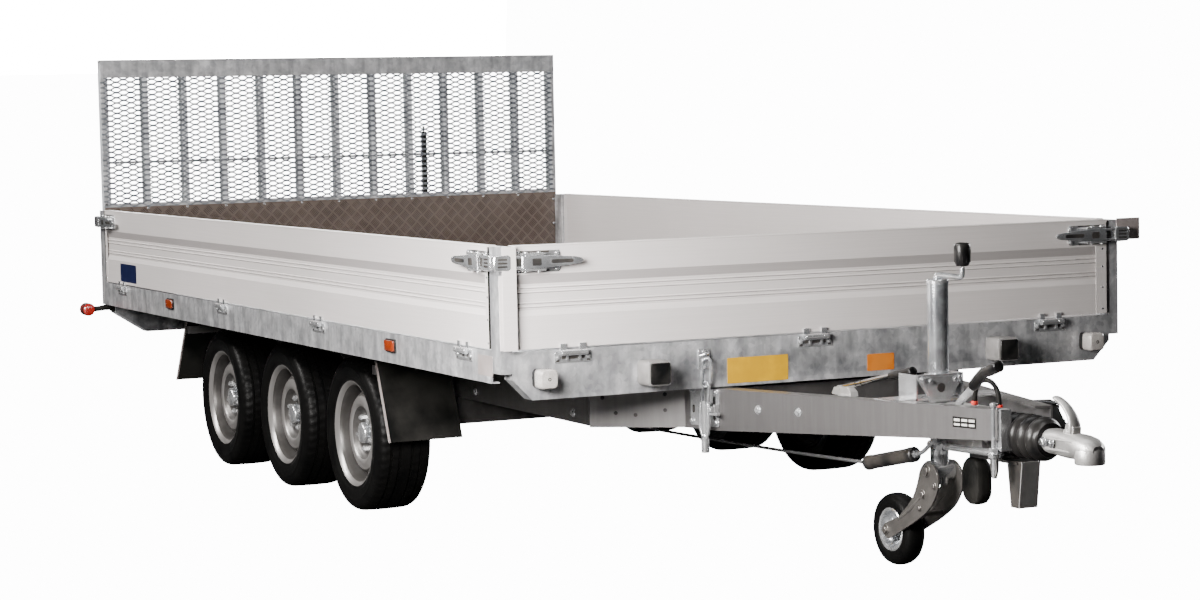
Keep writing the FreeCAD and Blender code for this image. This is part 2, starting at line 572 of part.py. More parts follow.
ARM_ANGLE = "atan((arm_root_half-arm_front_half)/arm_front)"
ARM_LENGTH = "sqrt((arm_root_half-arm_front_half)^2+arm_front^2)"
ARM_TAIL = "(arm_back*%s/arm_front)" % ARM_LENGTH
CONSOLE_FRONT_HALF = "(arm_root_half+(arm_root_half-arm_front_half)*arm_back/arm_front)"


def arm_strip(name, low_root, high_root, low_front, high_front, depth, front=ARM_LENGTH):
    """One wall of the left arm, tapered along its length."""
    share = "(%s)/(%s)" % (front, ARM_LENGTH)
    low_end = "(%s)+((%s)-(%s))*%s" % (low_root, low_front, low_root, share)
    high_end = "(%s)+((%s)-(%s))*%s" % (high_root, high_front, high_root, share)
    outline = [("-" + ARM_TAIL, low_root), ("0", low_root), (front, low_end), (front, high_end),
               ("0", high_root),
               ("-" + ARM_TAIL, high_root)]
    return prism(name, "XZ", outline, depth, ("0", "arm_root_half", "0"), turn="-" + ARM_ANGLE)


def arm(name):
    web = arm_strip(name + "_web", "arm_low_root", "arm_top_root", "arm_low_front", "arm_top_front",
                    "arm_web")
    top = arm_strip(name + "_top", "arm_top_root-arm_web", "arm_top_root", "arm_top_front-arm_web",
                    "arm_top_front", "arm_flange")
    low = arm_strip(name + "_low", "arm_low_root", "arm_low_root+arm_web", "arm_low_front",
                    "arm_low_front+arm_web",
                    "arm_flange", front="(%s-arm_bare)" % ARM_LENGTH)
    return web, top, low


CONSOLE_ANGLE = "atan((chassis_outer-%s)/(console_back-arm_back))" % CONSOLE_FRONT_HALF
CONSOLE_LENGTH = "sqrt((chassis_outer-%s)^2+(console_back-arm_back)^2)" % CONSOLE_FRONT_HALF


def console(name):
    """The plate that spreads from the arm's root to the rail."""
    part = doc.addObject("Part::Box", name)
    for key, text in (("Length", CONSOLE_LENGTH), ("Width", "arm_web"),
                      ("Height", "arm_top_root-console_low")):
        part.setExpression(key, bind(text))
    return place(part, ("-console_back-arm_web", "chassis_outer-arm_web", "console_low"),
                 turn="-" + CONSOLE_ANGLE)


def rail(name):
    """The left rail behind the console, a channel open inward."""
    outer, wall, top, low = "chassis_outer", "arm_web", "arm_top_root", "chassis_low"
    inner = "(chassis_outer-chassis_width)"
    outline = [(inner, low), (outer, low), (outer, top), (inner, top), (inner, top + "-" + wall),
               (outer + "-" + wall, top + "-" + wall), (outer + "-" + wall, low + "+" + wall),
               (inner, low + "+" + wall)]
    return prism(name, "YZ", outline, "chassis_end-console_back", ("-chassis_end", "0", "0"))


def pivot_ear(name, side_low):
    low = box(name + "_low", ("-pivot_back-pivot_ear", side_low, CHASSIS_TOP),
              ("pivot_ear*2", "pivot_ear_thick", "pivot_height-%s" % CHASSIS_TOP))
    eye = rod(name + "_eye", ("-pivot_back", side_low, "pivot_height"), "pivot_ear", "pivot_ear_thick", "y")
    bore = rod(name + "_bore", ("-pivot_back", side_low + "-1", "pivot_height"), "pivot_pin+pin_gap",
               "pivot_ear_thick+2", "y")
    return cut(name, join(name + "_solid", low, eye), bore)


PIVOT_SIDE = "(chassis_outer-chassis_width/2)"
ears = [pivot_ear("pivot_ear_inner", PIVOT_SIDE + "-pivot_lug_thick/2-pivot_ear_thick-1"),
        pivot_ear("pivot_ear_outer", PIVOT_SIDE + "+pivot_lug_thick/2+1")]


def flap_arm(name, back):
    """The bar that carries a mudflap out from the rail."""
    return box(name, ("-" + back, "chassis_outer-arm_web", "flap_top-flap_bar-flap_bar_down"),
               ("flap_bar", "flap_inner+flap_width-chassis_outer+arm_web", "flap_bar"))


REAR_AXLE = "(axle_first+axle_pitch*2)"
flap_arms = [flap_arm("flap_arm_front", "(axle_first-flap_lead+flap_bar-flap_bar_down*flap_lean/flap_drop)"),
             flap_arm("flap_arm_rear", "(%s+flap_rear-flap_thick+flap_bar_down*flap_rear_lean/flap_rear_drop)" % REAR_AXLE)]
beam_left = join("chassis_beam_raw", *arm("arm_left"), console("console_left"), rail("rail_left"), *ears,
                 *flap_arms)
node("left_chassis_beam", beam_left)
node("right_chassis_beam", mirror("right_chassis_piece", beam_left))


def chassis_tie(name, back, half, low, height):
    return box(name, ("-%s-tie_depth" % back, "-(%s)" % half, low), ("tie_depth", "(%s)*2" % half, height))


FLANGE_INNER = "(chassis_outer-chassis_width)"
ties = [chassis_tie("tie_%d" % index, back, FLANGE_INNER, "chassis_low", "tie_height")
        for index, back in enumerate(("first_tie", "second_tie", "third_tie", "fourth_tie", "last_tie"))]
ARM_TIE_HALF = "(arm_root_half-arm_web-arm_tie_slack)"
arm_tie = box("arm_tie", ("-arm_tie_back", "-" + ARM_TIE_HALF, "arm_top_root-arm_web-arm_tie_size"),
              ("arm_tie_size", ARM_TIE_HALF + "*2", "arm_tie_size"))


def foot_ear(name, side_low):
    """One of the two ears behind the first tie that hold the tilt cylinder's foot pin."""
    return box(name, ("-cylinder_foot-eye_radius", side_low, "cylinder_foot_height-eye_radius"),
               ("cylinder_foot+eye_radius-first_tie-tie_depth", "ear_thick", "eye_radius*2"))


foot_pin = rod("foot_pin", ("-cylinder_foot", "-eye_width/2-3-ear_thick", "cylinder_foot_height"), "eye_pin",
               "eye_width+6+ear_thick*2", "y")
foot_tie = join("foot_tie", ties[0], foot_ear("foot_ear_left", "eye_width/2+3"),
                foot_ear("foot_ear_right", "-eye_width/2-3-ear_thick"), foot_pin)
node("chassis_crossmembers", group("chassis_ties", foot_tie, *ties[1:], arm_tie))

pads = [box("pad_%d" % index, ("-%s-pad_length" % back, FLANGE_INNER, CHASSIS_TOP),
            ("pad_length", "runner_middle+runner_width/2-%s" % FLANGE_INNER,
             "runner_low-%s-pad_slack" % CHASSIS_TOP))
        for index, back in enumerate(("first_pad", "middle_pad", "last_pad"))]
node("bed_pads", both("bed_pads_set", group("left_pads", *pads)))


# --- Axles and wheels -------------------------------------------------------------------

def axle(name, back):
    """A trailing-arm axle under the rails, with a plain stub for each wheel."""
    beam_x = "-%s+axle_ahead-axle_side/2" % back
    beam_z = "tyre_radius+axle_rise-axle_side/2"
    tube = box(name + "_tube", (beam_x, "-axle_half", beam_z), ("axle_side", "axle_half*2", "axle_side"))
    seats = [box(name + "_seat%s" % tag, (beam_x, low, beam_z),
                 ("axle_side", "chassis_width", "chassis_low-(%s)" % beam_z))
             for tag, low in (("_left", FLANGE_INNER), ("_right", "-chassis_outer"))]
    arms = []
    for tag, sign in (("_left", 1), ("_right", -1)):
        side = "axle_half" if sign > 0 else "-axle_half-swing_thick"
        outline = [("-swing_side/2", "-swing_side/2"), ("swing_side/2", "-swing_side/2"),
                   ("axle_ahead+swing_side/2", "axle_rise-swing_side/2"),
                   ("axle_ahead+swing_side/2", "axle_rise+swing_side/2"),
                   ("axle_ahead-swing_side/2", "axle_rise+swing_side/2"), ("-swing_side/2", "swing_side/2")]
        arms.append(prism(name + "_swing" + tag, "XZ", outline, "swing_thick",
                          ("-" + back, side, "tyre_radius"), flip=True))
        start = "axle_half" if sign > 0 else "-wheel_middle-disc_out+8"
        arms.append(rod(name + "_stub" + tag, ("-" + back, start, "tyre_radius"), "stub_radius",
                        "wheel_middle+disc_out-8-axle_half", "y"))
    return join(name, tube, *seats, *arms)


AXLES = [("front", "axle_first"), ("middle", "(axle_first+axle_pitch)"),
         ("rear", "(axle_first+axle_pitch*2)")]
node("axles", group("axles_set", *[axle("axle_" + name, back) for name, back in AXLES]))

# A wheel's own frame has its axle along Z, which points away from the trailer.
TYRE_HALF = "tyre_width/2"
tyre_outline = [("bead_radius", "-rim_well"), ("bead_radius+12", "-rim_well-12"),
                ("bead_radius+37", "-" + TYRE_HALF),
                ("tyre_radius-30", "-" + TYRE_HALF), ("tyre_radius-7", "-tyre_width/2+12"),
                ("tyre_radius", "-tyre_width/2+27"),
                ("tyre_radius", "tyre_width/2-27"), ("tyre_radius-7", "tyre_width/2-12"),
                ("tyre_radius-30", TYRE_HALF),
                ("bead_radius+37", TYRE_HALF), ("bead_radius+12", "rim_well+12"), ("bead_radius", "rim_well")]
RIM_OUT = "(bead_radius-bead_gap)"
rim_barrel = [(RIM_OUT + "-rim_wall", "-rim_well-2"), (RIM_OUT + "-rim_wall", "rim_well+2"),
              (RIM_OUT + "+rim_flange-3", "rim_well+15"), (RIM_OUT + "+rim_flange", "rim_well+13"),
              (RIM_OUT, "rim_well"),
              (RIM_OUT, "-rim_well"), (RIM_OUT + "+rim_flange", "-rim_well-13"),
              (RIM_OUT + "+rim_flange-3", "-rim_well-15")]
rim_disc = [("hub_radius-5", "disc_out-disc_thick-16"), ("dish_radius-45", "disc_out-disc_thick-16"),
            ("dish_radius-14", "disc_out-disc_thick"), ("dish_radius", "disc_out-disc_thick"),
            (RIM_OUT + "-rim_wall", "disc_out-45-disc_thick"), (RIM_OUT + "-rim_wall+2", "disc_out-45"),
            ("dish_radius+3", "disc_out"), ("dish_radius-14", "disc_out"), ("dish_radius-42", "disc_out-14"),
            ("hub_radius-5", "disc_out-14")]
STUB_BORE = "stub_radius+stub_gap"
hub_outline = [(STUB_BORE, "-drum_in+10"), ("drum_radius", "-drum_in+10"),
               ("drum_radius", "-drum_in+drum_length"),
               ("hub_radius+8", "-drum_in+drum_length+12"), ("hub_radius", "disc_out-disc_thick-20"),
               ("hub_radius", "disc_out-10"),
               ("hub_radius-12", "disc_out-8"), ("hub_radius-16", "disc_out+6"), (STUB_BORE, "disc_out+6")]
tyre = spun("tyre_master", tyre_outline, ("0", "0", "0"), "z", world=False)
rim = join("rim_master", spun("rim_barrel", rim_barrel, ("0", "0", "0"), "z", world=False),
           spun("rim_disc", rim_disc, ("0", "0", "0"), "z", world=False),
           spun("rim_hub", hub_outline, ("0", "0", "0"), "z", world=False))

for place_name, back in AXLES:
    for side_name, sign, turn in (("left", "", -90), ("right", "-", 90)):
        at = ("-" + back, sign + "wheel_middle", "tyre_radius")
        for piece_name, master in (("tyre", tyre), ("rim", rim)):
            label = "%s_%s_%s" % (place_name, side_name, piece_name)
            node(label, copy(label + "_piece", master, at, (1, 0, 0), turn))

# --- Mudflaps ---------------------------------------------------------------------------


def flap(name, start, lean, drop, top):
    """A leaning sheet of rubber, its upper edge at the start."""
    outline = [("0", "0"), (lean, "-" + drop), (lean + "+flap_thick", "-" + drop), ("flap_thick", "0")]
    return prism(name, "XZ", outline, "flap_width", (start, "flap_inner", top), flip=True)


front_flap = flap("flap_front_left", "-axle_first+flap_lead", "flap_lean", "flap_drop", "flap_top")
rear_flap = flap("flap_rear_left", "-%s-flap_rear" % REAR_AXLE, "(-flap_rear_lean)", "flap_rear_drop",
                 "flap_top")
node("mudflaps", both("mudflaps_set", group("left_flaps", front_flap, rear_flap)))

# --- Coupling ---------------------------------------------------------------------------

AXIS_Z = "coupling_height"
housing = box("housing_block", ("housing_start", "-housing_half", "housing_low"),
              ("bellows_back-housing_start", "housing_half*2", "housing_top-housing_low"))
node("coupling_housing", housing)
bellows_outline = [("tube_radius", "0"), ("bellows_neck", "0"), ("bellows_neck", "12")]
for fold in range(5):
    low = "12+%d*(bellows_front-bellows_back-24)/5" % fold
    step = "(bellows_front-bellows_back-24)/5"
    bellows_outline += [("bellows_radius", low + "+%s*0.3" % step),
                        ("bellows_radius", low + "+%s*0.7" % step),
                        ("bellows_neck", low + "+" + step)]
bellows_outline += [("bellows_neck", "bellows_front-bellows_back"),
                    ("tube_radius", "bellows_front-bellows_back")]
node("coupling_bellows", spun("bellows", bellows_outline, ("bellows_back", "0", AXIS_Z), "x"))

CUP_RADIUS = "(ball_radius+cup_gap)"
BALL_X = "(nose_reach-ball_back)"
BALL_Z = "(coupling_height-cup_drop)"
tow_tube = rod("tow_tube", ("bellows_back", "0", AXIS_Z), "tube_radius-0.2", "bellows_front-bellows_back",
               "x")
neck = rod("head_neck", ("bellows_front", "0", AXIS_Z), "neck_radius", "%s-bellows_front" % BALL_X, "x")
crown = doc.addObject("Part::Sphere", "head_crown")
crown.setExpression("Radius", bind("ball_back"))
place(crown, (BALL_X, "0", BALL_Z))
seat = doc.addObject("Part::Sphere", "head_seat")
seat.setExpression("Radius", bind(CUP_RADIUS))
place(seat, (BALL_X, "0", BALL_Z))
mouth = rod("head_mouth", (BALL_X, "0", "%s-ball_back-5" % BALL_Z), CUP_RADIUS, "ball_back+5", "z")
trim = box("head_trim", ("%s-80" % BALL_X, "-60", "%s-60" % BALL_Z), ("160", "120", "46"))
node("coupling_head", cut("head_piece", join("head_solid", tow_tube, neck, crown), seat, mouth, trim))

handle_outline = [("0", "0"), ("34", "0"), ("10", "46"), ("-60", "86"), ("-66", "74"), ("-8", "34")]
node("coupling_handle", prism("handle_lever", "XZ", handle_outline, "26",
                              ("%s-100" % BALL_X, "13", "coupling_height+neck_radius")))

brake_outline = [("0", "0"), ("26", "0"), ("116", "104"), ("180", "128"), ("176", "150"), ("100", "122")]
node("handbrake_lever", prism("brake_lever", "XZ", brake_outline, "10",
                              ("790", "-housing_half", "housing_top-22")))

# --- Jockey wheel -----------------------------------------------------------------------
# The leg slides in the tube, and the fork turns about a pin through the leg's foot.

JOCKEY_BORE = "(jockey_tube_radius-jockey_tube_wall)"
bracket_block = box("bracket_block", ("jockey_front-bracket_deep/2", "-bracket_half", "bracket_low"),
                    ("bracket_deep", "bracket_half*2", "bracket_top-bracket_low"))
bracket_foot = box("bracket_foot", ("jockey_front-bracket_deep/2", "-190", "bracket_low-1"),
                   ("bracket_deep", "380", "8"))
bracket_hole = rod("bracket_hole", ("jockey_front", "0", "bracket_low-20"), "jockey_tube_radius",
                   "bracket_top-bracket_low+40", "z")
node("jockey_bracket", cut("bracket_piece", join("bracket_solid", bracket_block, bracket_foot), bracket_hole))

tube_outer = rod("jockey_outer", ("jockey_front", "0", "jockey_tube_low"), "jockey_tube_radius",
                 "jockey_tube_top-jockey_tube_low", "z")
tube_inner = rod("jockey_inner", ("jockey_front", "0", "jockey_tube_low-1"), JOCKEY_BORE,
                 "jockey_tube_top-jockey_tube_low-5", "z")
jockey_shell = cut("jockey_shell", tube_outer, tube_inner)

crank_hub = rod("crank_hub", ("jockey_front", "0", "jockey_tube_top"), "jockey_tube_radius-4",
                "crank_top-jockey_tube_top", "z")
crank_arm = box("crank_arm", ("jockey_front", "-crank_bar", "crank_top-crank_bar"),
                ("crank_reach+12", "crank_bar*2", "crank_bar/2"))
crank_knob = rod("crank_knob", ("jockey_front+crank_reach", "0", "crank_top-crank_bar/2"), "knob_radius",
                 "knob_top-crank_top", "z")
node("jockey_tube", join("jockey_tube_piece", jockey_shell, crank_hub, crank_arm, crank_knob))

leg_tube = rod("leg_tube", ("jockey_front", "0", "leg_low"), "leg_radius", "leg_top-leg_low", "z")
leg_eye = rod("leg_eye", ("jockey_front", "-fork_inner+2", "fork_pivot_height"), "leg_radius+4",
              "fork_inner*2-4", "y")
leg_bore = rod("leg_bore", ("jockey_front", "-fork_inner", "fork_pivot_height"), "fork_pin+pin_gap",
               "fork_inner*2", "y")
leg_low_cut = box("leg_low_cut", ("jockey_front-60", "-60", "leg_low-60"), ("120", "120", "60"))
node("jockey_leg", cut("leg_piece", join("leg_solid", leg_tube, leg_eye), leg_bore, leg_low_cut))

WHEEL_DROP = "(fork_pivot_height-jockey_radius)"
fork_outline = [("24", "24"), ("-22", "22"), ("-66", "-50"), ("-jockey_wheel_back-14", "-%s+14" % WHEEL_DROP),
                ("-jockey_wheel_back-8", "-%s-18" % WHEEL_DROP),
                ("-jockey_wheel_back+16", "-%s-16" % WHEEL_DROP),
                ("-70", "-150"), ("14", "-92"), ("32", "-20")]


def fork_side(name, side):
    return prism(name, "XZ", fork_outline, "fork_plate", ("jockey_front", side, "fork_pivot_height"))


fork_left = fork_side("fork_left", "fork_inner+fork_plate")
fork_right = fork_side("fork_right", "-fork_inner")
FORK_HALF = "(fork_inner+fork_plate)"
fork_pin = rod("fork_pin_bar", ("jockey_front", "-" + FORK_HALF, "fork_pivot_height"), "fork_pin",
               FORK_HALF + "*2", "y")
fork_axle = rod("fork_axle_bar", ("jockey_front-jockey_wheel_back", "-" + FORK_HALF, "jockey_radius"),
                "jockey_axle", FORK_HALF + "*2", "y")
fork_tie = box("fork_tie", ("jockey_front-75", "-" + FORK_HALF, "fork_pivot_height-135"),
               ("60", FORK_HALF + "*2", "8"))
node("jockey_fork", join("fork_piece", fork_left, fork_right, fork_pin, fork_axle, fork_tie))

JW = "jockey_width/2"
jockey_tyre = [("jockey_bead", "-jockey_width/2+8"), ("jockey_radius-25", "-" + JW),
               ("jockey_radius-8", "-jockey_width/2+3"),
               ("jockey_radius", "-jockey_width/2+14"), ("jockey_radius", "jockey_width/2-14"),
               ("jockey_radius-8", "jockey_width/2-3"),
               ("jockey_radius-25", JW), ("jockey_bead", "jockey_width/2-8")]
jockey_rim = [("jockey_axle+pin_gap", "-" + JW), ("20", "-" + JW), ("20", "-8"), ("jockey_bead-12", "-8"),
              ("jockey_bead-bead_gap", "-jockey_width/2+8"), ("jockey_bead-bead_gap", "jockey_width/2-8"),
              ("jockey_bead-12", "8"),
              ("20", "8"), ("20", JW), ("jockey_axle+pin_gap", JW)]
JOCKEY_AT = ("jockey_front-jockey_wheel_back", "0", "jockey_radius")
node("jockey_tyre", spun("jockey_tyre_ring", jockey_tyre, JOCKEY_AT))
node("jockey_rim", spun("jockey_rim_disc", jockey_rim, JOCKEY_AT))

# --- Brake rod, pump, hold-down and small fittings ---------------------------------------

BRAKE_Y = "-brake_side"
spring_tube = slanted("spring_tube", ("brake_back", "brake_back_height"),
                      ("brake_front", "brake_front_height"),
                      "brake_radius", BRAKE_Y)
brake_bar = slanted("brake_bar", ("-rod_back", "rod_back_height"), ("brake_back", "brake_back_height"),
                    "rod_radius", BRAKE_Y)
brake_link = slanted("brake_link", ("brake_front", "brake_front_height"),
                     ("housing_back-190", "housing_low+20"),
                     "rod_radius", BRAKE_Y)
brake_lug = box("brake_lug", ("housing_back-200", "-brake_side-rod_radius", "housing_low+10"),
                ("30", "brake_side+rod_radius-housing_half", "20"))
node("brake_rod", join("brake_rod_piece", spring_tube, brake_bar, brake_link, brake_lug))

pump_body = rod("pump_body", ("pump_front", "-pump_side", "pump_top-pump_deep"), "pump_radius", "pump_deep",
                "z")
pump_head = box("pump_head", ("pump_front-pump_head_back", "-pump_side-pump_head_wide/2", "pump_top"),
                ("pump_head_long", "pump_head_wide", "pump_head_high"))
pump_lever = slanted("pump_lever", ("pump_front-lever_back", "pump_top+lever_rise"),
                     ("lever_front", "lever_front_height"),
                     "lever_radius", "-pump_side")
pump_grip = slanted("pump_grip", ("lever_front", "lever_front_height"), ("grip_front", "grip_front_height"),
                    "grip_radius", "-pump_side")
pump_arm = box("pump_arm", ("pump_front-pump_arm_wide/2", "-(arm_root_half-pump_arm_short)",
                            "pump_top-pump_deep+pump_arm_up"),
               ("pump_arm_wide", "arm_root_half-pump_arm_short-pump_side", "pump_arm_thick"))
node("hand_pump", join("hand_pump_piece", pump_body, pump_head, pump_lever, pump_grip, pump_arm))

# The latch's own frame starts at the right arm's root, with X along the arm and Y inward.
latch_base = box("hold_plate", ("-%s+hold_plate_in" % ARM_TAIL, "-arm_web", "latch_plate_low"),
                 ("hold_plate_length", "arm_web", "latch_plate_high-latch_plate_low"), world=False)
latch_body = box("hold_body", ("-hold_body_back", "-arm_web-hold_body_thick", "hold_lever_low+hold_body_up"),
                 ("latch_bar", "hold_body_thick", "hold_body_high"), world=False)
latch_foot = rod("hold_foot", ("-hold_foot_back", "-arm_web-hold_body_thick/2", "hold_lever_low"),
                 "hold_foot_radius",
                 "hold_foot_length", "z", world=False)
hold_local = join("hold_local", latch_base, latch_body, latch_foot)
hold_turned = place(group("hold_turned", hold_local), ("0", "-arm_root_half", "0"), turn=ARM_ANGLE)
hook_top = "(hold_lever_low+hold_body_up+hold_body_high)"
chain = rod("hold_chain", ("chain_ahead", "-arm_root_half-chain_in", hook_top + "-chain_radius"),
            "chain_radius",
            "chain_top-%s+chain_radius" % hook_top, "z")
node("hold_down_latch", join("hold_down_piece", hold_turned, chain))

chock_outline = [("0", "0"), ("chock_length", "0"), ("chock_length-10", "chock_height*0.6"),
                 ("40", "chock_height"), ("0", "chock_height")]
chock = prism("chock", "XZ", chock_outline, "chock_width", ("chock_start", "chock_width", "chock_low"),
              world=False)
node("wheel_chock", place(group("chock_turned", chock), ("0", "arm_root_half", "0"), turn="-" + ARM_ANGLE))

nose_plate = box("nose_plate", ("housing_back-80", "-35", "nose_plate_low"),
                 ("prop_front-housing_back+80", "70", "nose_plate_high-nose_plate_low"))
nose_pad = box("nose_pad", ("housing_back-80", "-35", "nose_plate_high"),
               ("100", "70", "housing_low-nose_plate_high"))
prop_front = box("prop_front", ("prop_front-prop_wall", "-prop_side/2", "prop_low"),
                 ("prop_wall", "prop_side", "nose_plate_low-prop_low"))
prop_side = box("prop_side", ("prop_front-prop_side", "-prop_side/2", "prop_low"),
                ("prop_side", "prop_wall", "nose_plate_low-prop_low"))
node("prop_leg", join("prop_leg_piece", nose_plate, nose_pad, prop_front, prop_side))

HOSE_ROUTE = [("hose_back", "housing_top"), ("hose_back", "housing_top+40"), ("hose_back+24", "hose_top-10"),
              ("hose_middle", "hose_top"), ("hose_front-24", "hose_top-10"),
              ("hose_front", "housing_top+40"), ("hose_front", "housing_top")]
hose_pieces = [slanted("hose_run_%d" % index, start, end, "hose_radius", "0")
               for index, (start, end) in enumerate(zip(HOSE_ROUTE, HOSE_ROUTE[1:]))]
for index, (x, z) in enumerate(HOSE_ROUTE[1:-1]):
    knee = doc.addObject("Part::Sphere", "hose_knee_%d" % index)
    knee.setExpression("Radius", bind("hose_radius"))
    hose_pieces.append(place(knee, (x, "0", z)))
node("brake_hose", join("brake_hose_piece", *hose_pieces))

# --- Tilt cylinder -----------------------------------------------------------------------
# It lies between a foot on the chassis and an eye under the bed.

FOOT = ("-cylinder_foot", "cylinder_foot_height")
EYE = ("-cylinder_eye", "cylinder_eye_height")
CYLINDER_RUN = "(cylinder_eye-cylinder_foot)"
CYLINDER_RISE = "(cylinder_eye_height-cylinder_foot_height)"
CYLINDER_SPAN = "sqrt(%s^2+%s^2)" % (CYLINDER_RUN, CYLINDER_RISE)
BARREL_SHARE = "(cylinder_length/%s)" % CYLINDER_SPAN


def along(share):
    """A point of the cylinder's middle line, as a share of the way from foot to eye."""
    return ("-cylinder_foot-%s*(%s)" % (CYLINDER_RUN, share),
            "cylinder_foot_height+%s*(%s)" % (CYLINDER_RISE, share))


barrel_shell = slanted("barrel_shell", along("cylinder_neck/" + CYLINDER_SPAN), along(BARREL_SHARE),
                       "cylinder_radius", "0")
barrel_neck = slanted("barrel_neck", along("0"), along("(cylinder_neck+5)/" + CYLINDER_SPAN), "eye_pin+4",
                      "0")
barrel_bore = slanted("barrel_bore", along("0.16"), along(BARREL_SHARE + "+0.02"),
                      "cylinder_rod+cylinder_slack", "0")
barrel_eye = rod("barrel_eye", ("-cylinder_foot", "-eye_width/2", "cylinder_foot_height"), "eye_radius",
                 "eye_width", "y")
barrel_hole = rod("barrel_hole", ("-cylinder_foot", "-eye_width/2-1", "cylinder_foot_height"),
                  "eye_pin+pin_gap", "eye_width+2", "y")
node("tilt_cylinder_barrel", cut("barrel_piece", join("barrel_solid", barrel_shell, barrel_neck, barrel_eye),
                                 barrel_bore, barrel_hole))

rod_bar = slanted("tilt_rod_bar", along("0.2"), along("0.98"), "cylinder_rod", "0")
rod_eye = rod("tilt_rod_eye", ("-cylinder_eye", "-eye_width/2", "cylinder_eye_height"), "eye_radius",
              "eye_width", "y")
node("tilt_cylinder_rod", join("tilt_rod_piece", rod_bar, rod_eye))


doc.recompute()

failed = [item.Name for item in doc.Objects if "Invalid" in item.State or "Error" in item.State]
if failed:
    raise RuntimeError("These objects did not compute: %s" % ", ".join(failed))
for part in NODES:
    if part.Shape.isNull() or not part.Shape.isValid() or not part.Shape.Solids:
        raise RuntimeError("%s has no valid solid" % part.Label)

os.makedirs("parts", exist_ok=True)
for part in NODES:
    part.Shape.exportStep(os.path.join("parts", part.Label + ".step"))
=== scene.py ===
"""Looks for a three-axle drop-side trailer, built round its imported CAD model.

Metres in the row frame. Shapes are given in millimetres, with X from the bed's front face.
"""
import math

import bmesh
import bpy
from mathutils import Matrix, Vector


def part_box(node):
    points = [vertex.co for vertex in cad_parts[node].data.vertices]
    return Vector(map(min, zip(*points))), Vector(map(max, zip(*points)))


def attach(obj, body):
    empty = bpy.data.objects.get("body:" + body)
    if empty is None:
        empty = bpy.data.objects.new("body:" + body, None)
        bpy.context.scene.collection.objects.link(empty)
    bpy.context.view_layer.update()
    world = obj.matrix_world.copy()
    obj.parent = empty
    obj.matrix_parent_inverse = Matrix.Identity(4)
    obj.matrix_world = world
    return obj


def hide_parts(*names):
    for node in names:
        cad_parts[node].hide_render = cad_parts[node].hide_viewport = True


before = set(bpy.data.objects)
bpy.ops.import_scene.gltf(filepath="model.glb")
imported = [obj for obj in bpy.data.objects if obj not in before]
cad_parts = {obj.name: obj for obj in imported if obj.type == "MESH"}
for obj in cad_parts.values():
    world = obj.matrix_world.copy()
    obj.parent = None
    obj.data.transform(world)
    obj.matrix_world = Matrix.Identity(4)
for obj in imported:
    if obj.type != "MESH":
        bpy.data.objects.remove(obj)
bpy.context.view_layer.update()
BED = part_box("front_beam")[1].x
BED_LENGTH = 4160
HALF = 1075.0
MM = Matrix.Scale(0.001, 4)
HOME = Matrix.Translation((BED, 0, 0)) @ MM
SIGNS = (-1, 1)


def at(x, y, z, turn=0.0, flip=False):
    """A local frame in millimetres at a place on the trailer, turned about Z in degrees."""
    m = HOME @ Matrix.Translation((x, y, z)) @ Matrix.Rotation(math.radians(turn), 4, "Z")
    return m @ Matrix.Scale(-1, 4, (1, 0, 0)) if flip else m


# --- Materials --------------------------------------------------------------------------

M = {}
BLACK, WHITE = (0, 0, 0), (1, 1, 1)
PATCH_STOPS = (0.33, 0.5, 0.67)
DIRT_STOP, WORN_STOPS = 0.62, (0.5, 0.56)
GRAIN_DEPTH, PATTERN_DEPTH = 0.001, 0.002


def grey(value):
    return (value, value, value)


